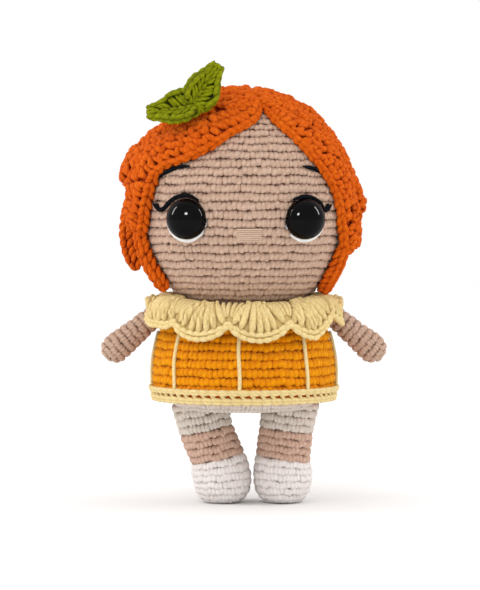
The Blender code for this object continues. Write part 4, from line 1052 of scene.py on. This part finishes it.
RIGHT_HAIRLINE = np.array([
    (0.0, 0.0), (18.0, 18.0), (28.0, 37.0), (39.0, 47.0), (48.0, 55.0),
    (57.0, 68.0), (66.0, 80.0), (95.0, 80.0), (180.0, 84.0),
])
LEFT_HAIRLINE = np.array([
    (0.0, -14.0), (22.0, -17.0), (30.0, -27.0), (46.0, -35.0), (62.0, -44.0),
    (80.0, -48.0), (97.0, -45.0), (180.0, -45.0),
])


def eased(table, at, reach=5.0, count=9):
    """The value of a table at an angle: the mean of so many places within reach of it, in degrees."""
    spots = np.asarray(at, float)[..., None] + np.linspace(-reach, reach, count)
    return np.interp(spots, table[:, 0], table[:, 1]).mean(axis=-1)


def spun(first, second, angle):
    """Two coordinates turned by an angle about the third."""
    cosine, sine = math.cos(angle), math.sin(angle)
    return first * cosine - second * sine, first * sine + second * cosine


def from_whorl(angle, bearing, lift):
    """A place on the head at an angle from the whorl; bearing 0 runs down the face. The arrow to it is
    tipped by the whorl's polar angle and turned by its azimuth."""
    out, turn = np.radians(angle), np.radians(bearing)
    x, y, z = -np.sin(out) * np.sin(turn), -np.sin(out) * np.cos(turn), np.cos(out)
    y, z = spun(y, z, WHORL_POLAR)
    x, y = spun(x, y, WHORL_AZIMUTH)
    azimuth, polar = np.degrees(np.arctan2(x, -y)), np.degrees(np.arccos(np.clip(z, -1.0, 1.0)))
    return head_point(azimuth, polar, lift)


# Each lock's length in degrees from the whorl, and its height at equal steps along it in millimetres.
LOCKS = [
    ("right_fringe", 102.0, (2.4, 3.0, 4.4, 5.4, 6.2, 6.4)),
    ("right_temple_lock", 88.0, (2.4, 2.5, 2.6, 2.8, 3.0, 3.2, 5.2, 8.8, 10.6)),
    ("right_side_lock", 132.0, (2.4, 2.6, 2.6, 7.6, 8.6, 8.8)),
    ("right_back_lock", 144.0, (2.4, 3.2, 4.0, 6.0, 7.0, 7.6)),
    ("right_nape_lock", 148.0, (2.4, 3.8, 5.4, 6.2, 6.8, 7.4)),
    ("left_nape_lock", 147.0, (2.4, 3.6, 5.0, 6.0, 6.8, 7.4)),
    ("left_back_lock", 138.0, (2.4, 3.0, 3.8, 5.4, 6.8, 7.4)),
    ("left_side_lock", 120.0, (2.4, 2.4, 2.6, 3.4, 6.0, 6.8)),
    ("left_temple_lock", 88.0, (2.4, 2.4, 2.4, 2.5, 3.8, 8.4)),
    ("left_fringe", 97.0, (2.4, 2.4, 2.4, 2.8, 3.8, 8.2)),
]
LOCK_SHARES = np.array([0.0, 0.125, 0.225, 0.325, 0.42, 0.51, 0.60, 0.695, 0.795, 0.895, 1.0])
STRIP_LOW = 0.0010
LINK = 3.8
DROP = np.array([0.55, 0.95, 1.1, 1.1, 0.95, 0.55])
# Painted shade at the ends of each drop and post on the locks, loose ends, whorl and leaves.
STRAND_SHADE = np.array([0.7, 0.12, 0.0, 0.0, 0.12, 0.7])
ROPE_SHADE = np.array([0.6, 0.1, 0.0, 0.0, 0.1, 0.6])


def strip(route, first, last, heights):
    """A lock as a surface: up is the angle left to its tip, around runs over its top from one edge to the
    other and back below. Its section is a box with round corners, powers of the cosine and the sine, and
    its width and thickness shrink at the tip. Where it is high its underside lifts off the head too."""
    heights = np.array(heights) / 1000.0
    steps = np.linspace(first, last, len(heights))

    def place(around, up):
        """Beside the middle bearing by the cosine's power of the half width, and off the head between the
        underside and the top by the sine's power."""
        angle = last - up
        middle, half, tip = route(angle)
        high = np.interp(angle, steps, heights)
        low = STRIP_LOW + 0.8 * np.maximum(high - 0.0066, 0.0)
        across = np.sign(np.cos(around)) * np.abs(np.cos(around)) ** 0.8
        above = np.clip(np.sin(around), 0.0, 1.0) ** 0.55
        lift = low + (high - low) * (0.5 + (above - 0.5) * tip)
        return from_whorl(angle, middle + half * tip * across, lift)

    return place


def strip_stitches(place, length):
    """Crochet on a lock. Ropes: at each edge two chains of slanting drops. Posts: in each row between the
    ropes short strands from row edge to row edge, whose way along leans one way and then the other; two
    rows where the lock is narrow, near the whorl, and four further on."""
    parts = []
    starts = np.arange(0.6, length - 0.3 * LINK, LINK)[:, None]
    count = len(starts)
    share = shares(6)
    arc = np.sin(math.pi * share)
    for edge, slant, half in ((0.10, 0.24, 0.00112), (0.42, -0.26, 0.00122)):
        for far_side in (False, True):
            up = starts + uneven(0.2, count) + LINK * (share * 1.45 - 0.22)
            turn = edge + slant * (share - 0.5) + uneven(0.03, count)
            lift = 0.0001 + 0.0006 * arc + uneven(0.0001, count)
            paths, outs = lie_on(place, math.pi - turn if far_side else turn, np.clip(up, 0.3, length), lift)
            parts.append(yarn(paths, outs, half * DROP, shade_amount=ROPE_SHADE, tint=0.2))
    near_whorl = length - starts[:, 0] < 36.0
    for rows, here in ((2, starts[near_whorl]), (4, starts[~near_whorl])):
        edges = np.linspace(0.84, -0.84, rows + 1)
        for row in range(rows):
            for offset, lean in ((0.0, 0.7), (0.5, -0.5)):
                shown = here[rng.uniform(size=len(here)) > 0.06]
                few = len(shown)
                tilt = lean * (1.0 - 2.0 * (row % 2)) + uneven(0.3, few)
                along = LINK * (0.3 + offset + 0.4 * (row % 2) + tilt * (share - 0.5))
                up = shown + along + uneven(0.4, few)
                over = edges[row] + (edges[row + 1] - edges[row]) * (share * 1.2 - 0.1)
                over = over + uneven(0.05, few)
                turn = np.arccos(np.clip(np.sign(over) * np.abs(over) ** 1.25, -0.99, 0.99))
                lift = 0.0001 + (0.0008 + uneven(0.0004, few)) * arc
                paths, outs = lie_on(place, turn, np.clip(up, 0.6, length), lift)
                girth = 0.00110 * DROP * (1.0 + uneven(0.10, few))
                parts.append(yarn(paths, outs, girth, wide=1.15, shade_amount=STRAND_SHADE, tint=0.25, side_shading=0.5))
    return parts


def strip_cloth(name, surface, way, rows, lift):
    """The cloth under a strip's stitches. It takes the place of the CAD's strip."""
    under = cover(surface, full_turn(28), np.linspace(0.0, way, rows), lift)
    cloth = piece(name + "_cloth", under, hair_shade_cloth, "head")
    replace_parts(cloth, name)


for number, (name, last, heights) in enumerate(LOCKS):

    def route(angle, number=number, last=last, name=name):
        """Middle bearing, half width and share of the full size of a lock at an angle from the whorl. The
        right temple lock swings over the fringe before its tip."""
        first = eased(RIGHT_HAIRLINE, angle)
        span = 360.0 + eased(LEFT_HAIRLINE, angle) - first
        long = 15.0 if name == "left_fringe" else 7.0
        tip = np.sqrt(np.clip(1.0 - np.clip((angle - last + long) / (long + 0.4), 0.0, 1.0) ** 2, 0.02, 1.0))
        low, top = LOCK_SHARES[number], LOCK_SHARES[number + 1]
        if name == "right_temple_lock":
            low = low - 0.09 * np.interp(angle, (56.0, 68.0, 88.0), (0.0, 1.0, 0.35))
        return first + span * 0.5 * (low + top), 0.5 * span * (top - low), tip

    lock = strip(route, 0.0, last, heights)
    length = last - 3.0
    strip_cloth(name, lock, length, int(last / 2.0), -0.0004)
    piece(name + "_stitches", strip_stitches(lock, length), hair_yarn, "head")

share = shares(6)
bearings = np.arange(9)[:, None] * 40.0 + 30.0 * share
angle = 0.6 + 6.4 * share
paths = from_whorl(angle, bearings, 0.0028 + 0.0008 * np.sin(math.pi * share))
outs = unit(from_whorl(angle, bearings, 0.003) - from_whorl(angle, bearings, 0.001))
piece("hair_whorl_stitches", yarn(paths, outs, 0.0010 * DROP, shade_amount=ROPE_SHADE), hair_yarn, "head")


# Loose ends: a small curl under the fringe on one side and a thin strand beside each cheek, crocheted from
# the hair's cotton and sewn on under the locks. Each has its half width, heights in millimetres, and its
# route as angles from the whorl with their bearings.
LOOSE_LINK = 3.4
LOOSE = [
    (
        "right_curl", 6.5, (6.0, 8.6, 10.6, 11.2, 10.4),
        [(95, 111.5), (102, 112), (110, 111), (118, 109), (126, 105)],
    ),
    ("right_face_strand", 3.6, (4.6, 5.4, 5.4, 4.6), [(99.0, 88.5), (111, 79), (120, 70), (126.6, 68)]),
    ("left_face_strand", 3.6, (4.4, 5.0, 4.8, 4.2), [(93.0, -51), (104, -45.5), (112, -43), (120, -47)]),
]
for name, half, heights, table in LOOSE:
    table = np.array(table, float)

    def route(angle, table=table, half=half):
        """The strand's middle bearing, its half width, and its share of the full size at both ends."""
        near = np.clip((angle - table[0, 0]) / 4.0, 0.0, 1.0)
        far = np.clip((table[-1, 0] - angle) / 4.0, 0.0, 1.0)
        tip = np.sqrt(np.clip(1.0 - (1.0 - np.minimum(near, far)) ** 2, 0.03, 1.0))
        return eased(table, angle, 3.0, 7), half, tip

    first, last = table[0, 0], table[-1, 0]
    strand = strip(route, first, last, heights)
    strip_cloth(name, strand, last - first, 20, -0.0002)
    starts = np.arange(0.4, last - first - 1.5, LOOSE_LINK)[:, None]
    parts = []
    for turn in (0.20, 0.85, 0.5 * math.pi, math.pi - 0.85, math.pi - 0.20):
        begin = starts + 1.1 * math.cos(2.0 * turn) + uneven(0.3, len(starts))
        up = begin + LOOSE_LINK * (share * 1.5 - 0.25)
        lift = 0.0002 + 0.0005 * np.sin(math.pi * share)
        paths, outs = lie_on(strand, turn + 0.5 * (share - 0.5), np.clip(up, 0.3, last - first), lift)
        parts.append(yarn(paths, outs, 0.00108 * DROP, shade_amount=STRAND_SHADE))
    piece(name + "_stitches", parts, hair_yarn, "head")


# Leaves: two cupped leaves of green cotton, crocheted along both sides of a middle chain, with a thick
# looped rim. A few stitches sew both to the hair at their stalks, and they bend about those.
leaf_yarn = yarn_finish(
    "green cotton yarn", (111, 116, 3), (142, 149, 18), (40, 46, 0), ply=0.5, sheen=0.0, shine=0.06,
)
# The green cloth is much darker than the yarn: painted shade between the stitches.
leaf_shade_cloth = under_finish("green cotton cloth", (62, 72, 4), (36, 44, 0))
LEAF_AZIMUTH = -30.0
LEAF_POLAR = 43.5
leaf_base = head_point(LEAF_AZIMUTH, LEAF_POLAR, 0.0095)
LEAF_WIDTHS = np.array([
    (0.0, 0.62), (0.12, 0.88), (0.32, 1.0), (0.52, 0.90), (0.72, 0.58), (0.88, 0.38), (1.0, 0.24),
])
LEAVES = {
    "left": ((0.55, 0.10, 0.83), (0.83, 0.30, -0.55), 0.0190, 0.0064, (-0.0046, 0.0012, -0.0004)),
    "right": ((-0.95, 0.22, -0.12), (0.0, 0.50, 0.87), 0.0202, 0.0070, (0.0012, 0.0, 0.0006)),
}
for side, (along, across, length, half, shift) in LEAVES.items():
    along = unit(np.array(along))
    across = unit(np.array(across) - along * np.dot(across, along))
    cup_way = np.cross(across, along)
    start = leaf_base + along * 0.0019 + np.array(shift)

    def leaf(around, up, start=start, along=along, across=across, cup_way=cup_way, length=length, half=half):
        """A leaf: up runs from stalk to tip, around goes over its front from rim to rim and back behind. The
        rims curl forwards with the square of the way across, and the front is proud by a sine."""
        far = np.clip(up, 0.0, 1.0)
        width = np.interp(far, LEAF_WIDTHS[:, 0], LEAF_WIDTHS[:, 1])
        over = -np.cos(around)
        cup = 0.0042 * width * over ** 2 + 0.0008 * np.sin(around) - 0.0020 * far * (1.0 - far) * 2.0
        run = length * up + 0.0005
        aside = half * width * over
        return start + along * run[..., None] + across * aside[..., None] + cup_way * cup[..., None]

    under = cover(leaf, full_turn(28), np.linspace(0.0, 0.96, 24), -0.0001)
    cloth = piece(side + "_leaf_cloth", under, leaf_shade_cloth, side + "_leaf")
    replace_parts(cloth, side + "_leaf")
    parts = []
    arc = np.sin(math.pi * share)
    posts = np.linspace(-0.06, 0.78, 8)[:, None]
    for face in (1.0, -1.0):
        for hand in (1.0, -1.0):
            turn = math.pi / 2.0 + hand * (0.04 + 0.98 * share) + uneven(0.05, 8)
            far = posts + (0.26 + uneven(0.05, 8)) * share
            lift = 0.0003 + 0.0009 * arc + uneven(0.0002, 8)
            paths, outs = lie_on(leaf, face * turn, np.clip(far, 0.0, 0.98), lift)
            parts.append(yarn(paths, outs, 0.00082 * DROP, wide=1.1, shade_amount=STRAND_SHADE, tint=0.35, side_shading=0.6))
        far = np.linspace(0.0, 0.75, 5)[:, None] + 0.22 * share
        paths, outs = lie_on(leaf, face * (math.pi / 2.0 + 0.1 * (share - 0.5)), far, 0.0003 + 0.0005 * arc)
        parts.append(yarn(paths, outs, 0.0009 * DROP, shade_amount=STRAND_SHADE, tint=0.4))
    for rim in (0.0, math.pi):
        for slant, off in ((0.30, 0.0), (-0.30, 0.09)):
            far = np.linspace(-0.02, 0.84, 6)[:, None] + off + (0.26 + uneven(0.02, 6)) * share
            turn = rim + slant * (1.0 - 0.5 * share) + uneven(0.05, 6)
            paths, outs = lie_on(leaf, turn, np.clip(far, 0.0, 1.02), 0.0002 + 0.0006 * arc)
            parts.append(yarn(paths, outs, 0.00108 * DROP, shade_amount=STRAND_SHADE, tint=0.35))
    for face in (1.0, -1.0):
        turn = face * (0.15 + (math.pi - 0.3) * share)
        paths, outs = lie_on(leaf, turn, 0.97 + 0.05 * arc, 0.0003 + 0.0003 * arc)
        parts.append(yarn(paths, outs, 0.0011))
    piece(side + "_leaf_stitches", parts, leaf_yarn, side + "_leaf")

tie_turn = math.pi * np.linspace(0.0, 1.0, 7)[:, None]
out = head_out(LEAF_AZIMUTH, LEAF_POLAR)
tie_parts = []
for turn in np.linspace(0.0, math.pi, 5)[:-1]:
    sideways = np.array([math.cos(turn), 0.0, math.sin(turn)])
    path = leaf_base + sideways * 0.0019 * np.cos(tie_turn) + out * (0.0014 * np.sin(tie_turn) - 0.0006)
    tie_parts.append(yarn(path[None], np.broadcast_to(out, path.shape)[None], 0.0007))
knot = piece("leaf_stitches_yarn", tie_parts, leaf_yarn, "head")
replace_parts(knot, "leaf_stitches")


# Floor: white paper with a painted shadow: grey round the feet, so that the doll's soft shadow shows on
# it. The painted grey fades with the square root of the distance from the middle.
PAPER_HALF = 4.0
PAINTED_SHADOW_REACH = 0.24
floor_mesh = bpy.data.meshes.new("floor")
paper_corners = [(PAPER_HALF * x, PAPER_HALF * y, 0.0) for x, y in ((-1, -1), (1, -1), (1, 1), (-1, 1))]
floor_mesh.from_pydata(paper_corners, [], [(0, 1, 2, 3)])
floor = bpy.data.objects.new("floor", floor_mesh)
picture.collection.objects.link(floor)
floor_paper, floor_shader, floor_dye, floor_place = bare_finish("white paper floor", 0.9, 0.5)
floor_away = floor_dye.node("ShaderNodeVectorMath", {"operation": "LENGTH"}, {0: floor_place}, 1)
painted_shadow_fade = floor_dye.math("POWER", floor_away * (1.0 / PAINTED_SHADOW_REACH), 0.5).clamped()
floor_colour = floor_dye.blend(painted_shadow_fade, (0.70, 0.697, 0.693, 1.0), (0.99, 0.99, 0.99, 1.0))
floor_colour.feed(floor_shader, "Base Color")
floor_mesh.materials.append(floor_paper)
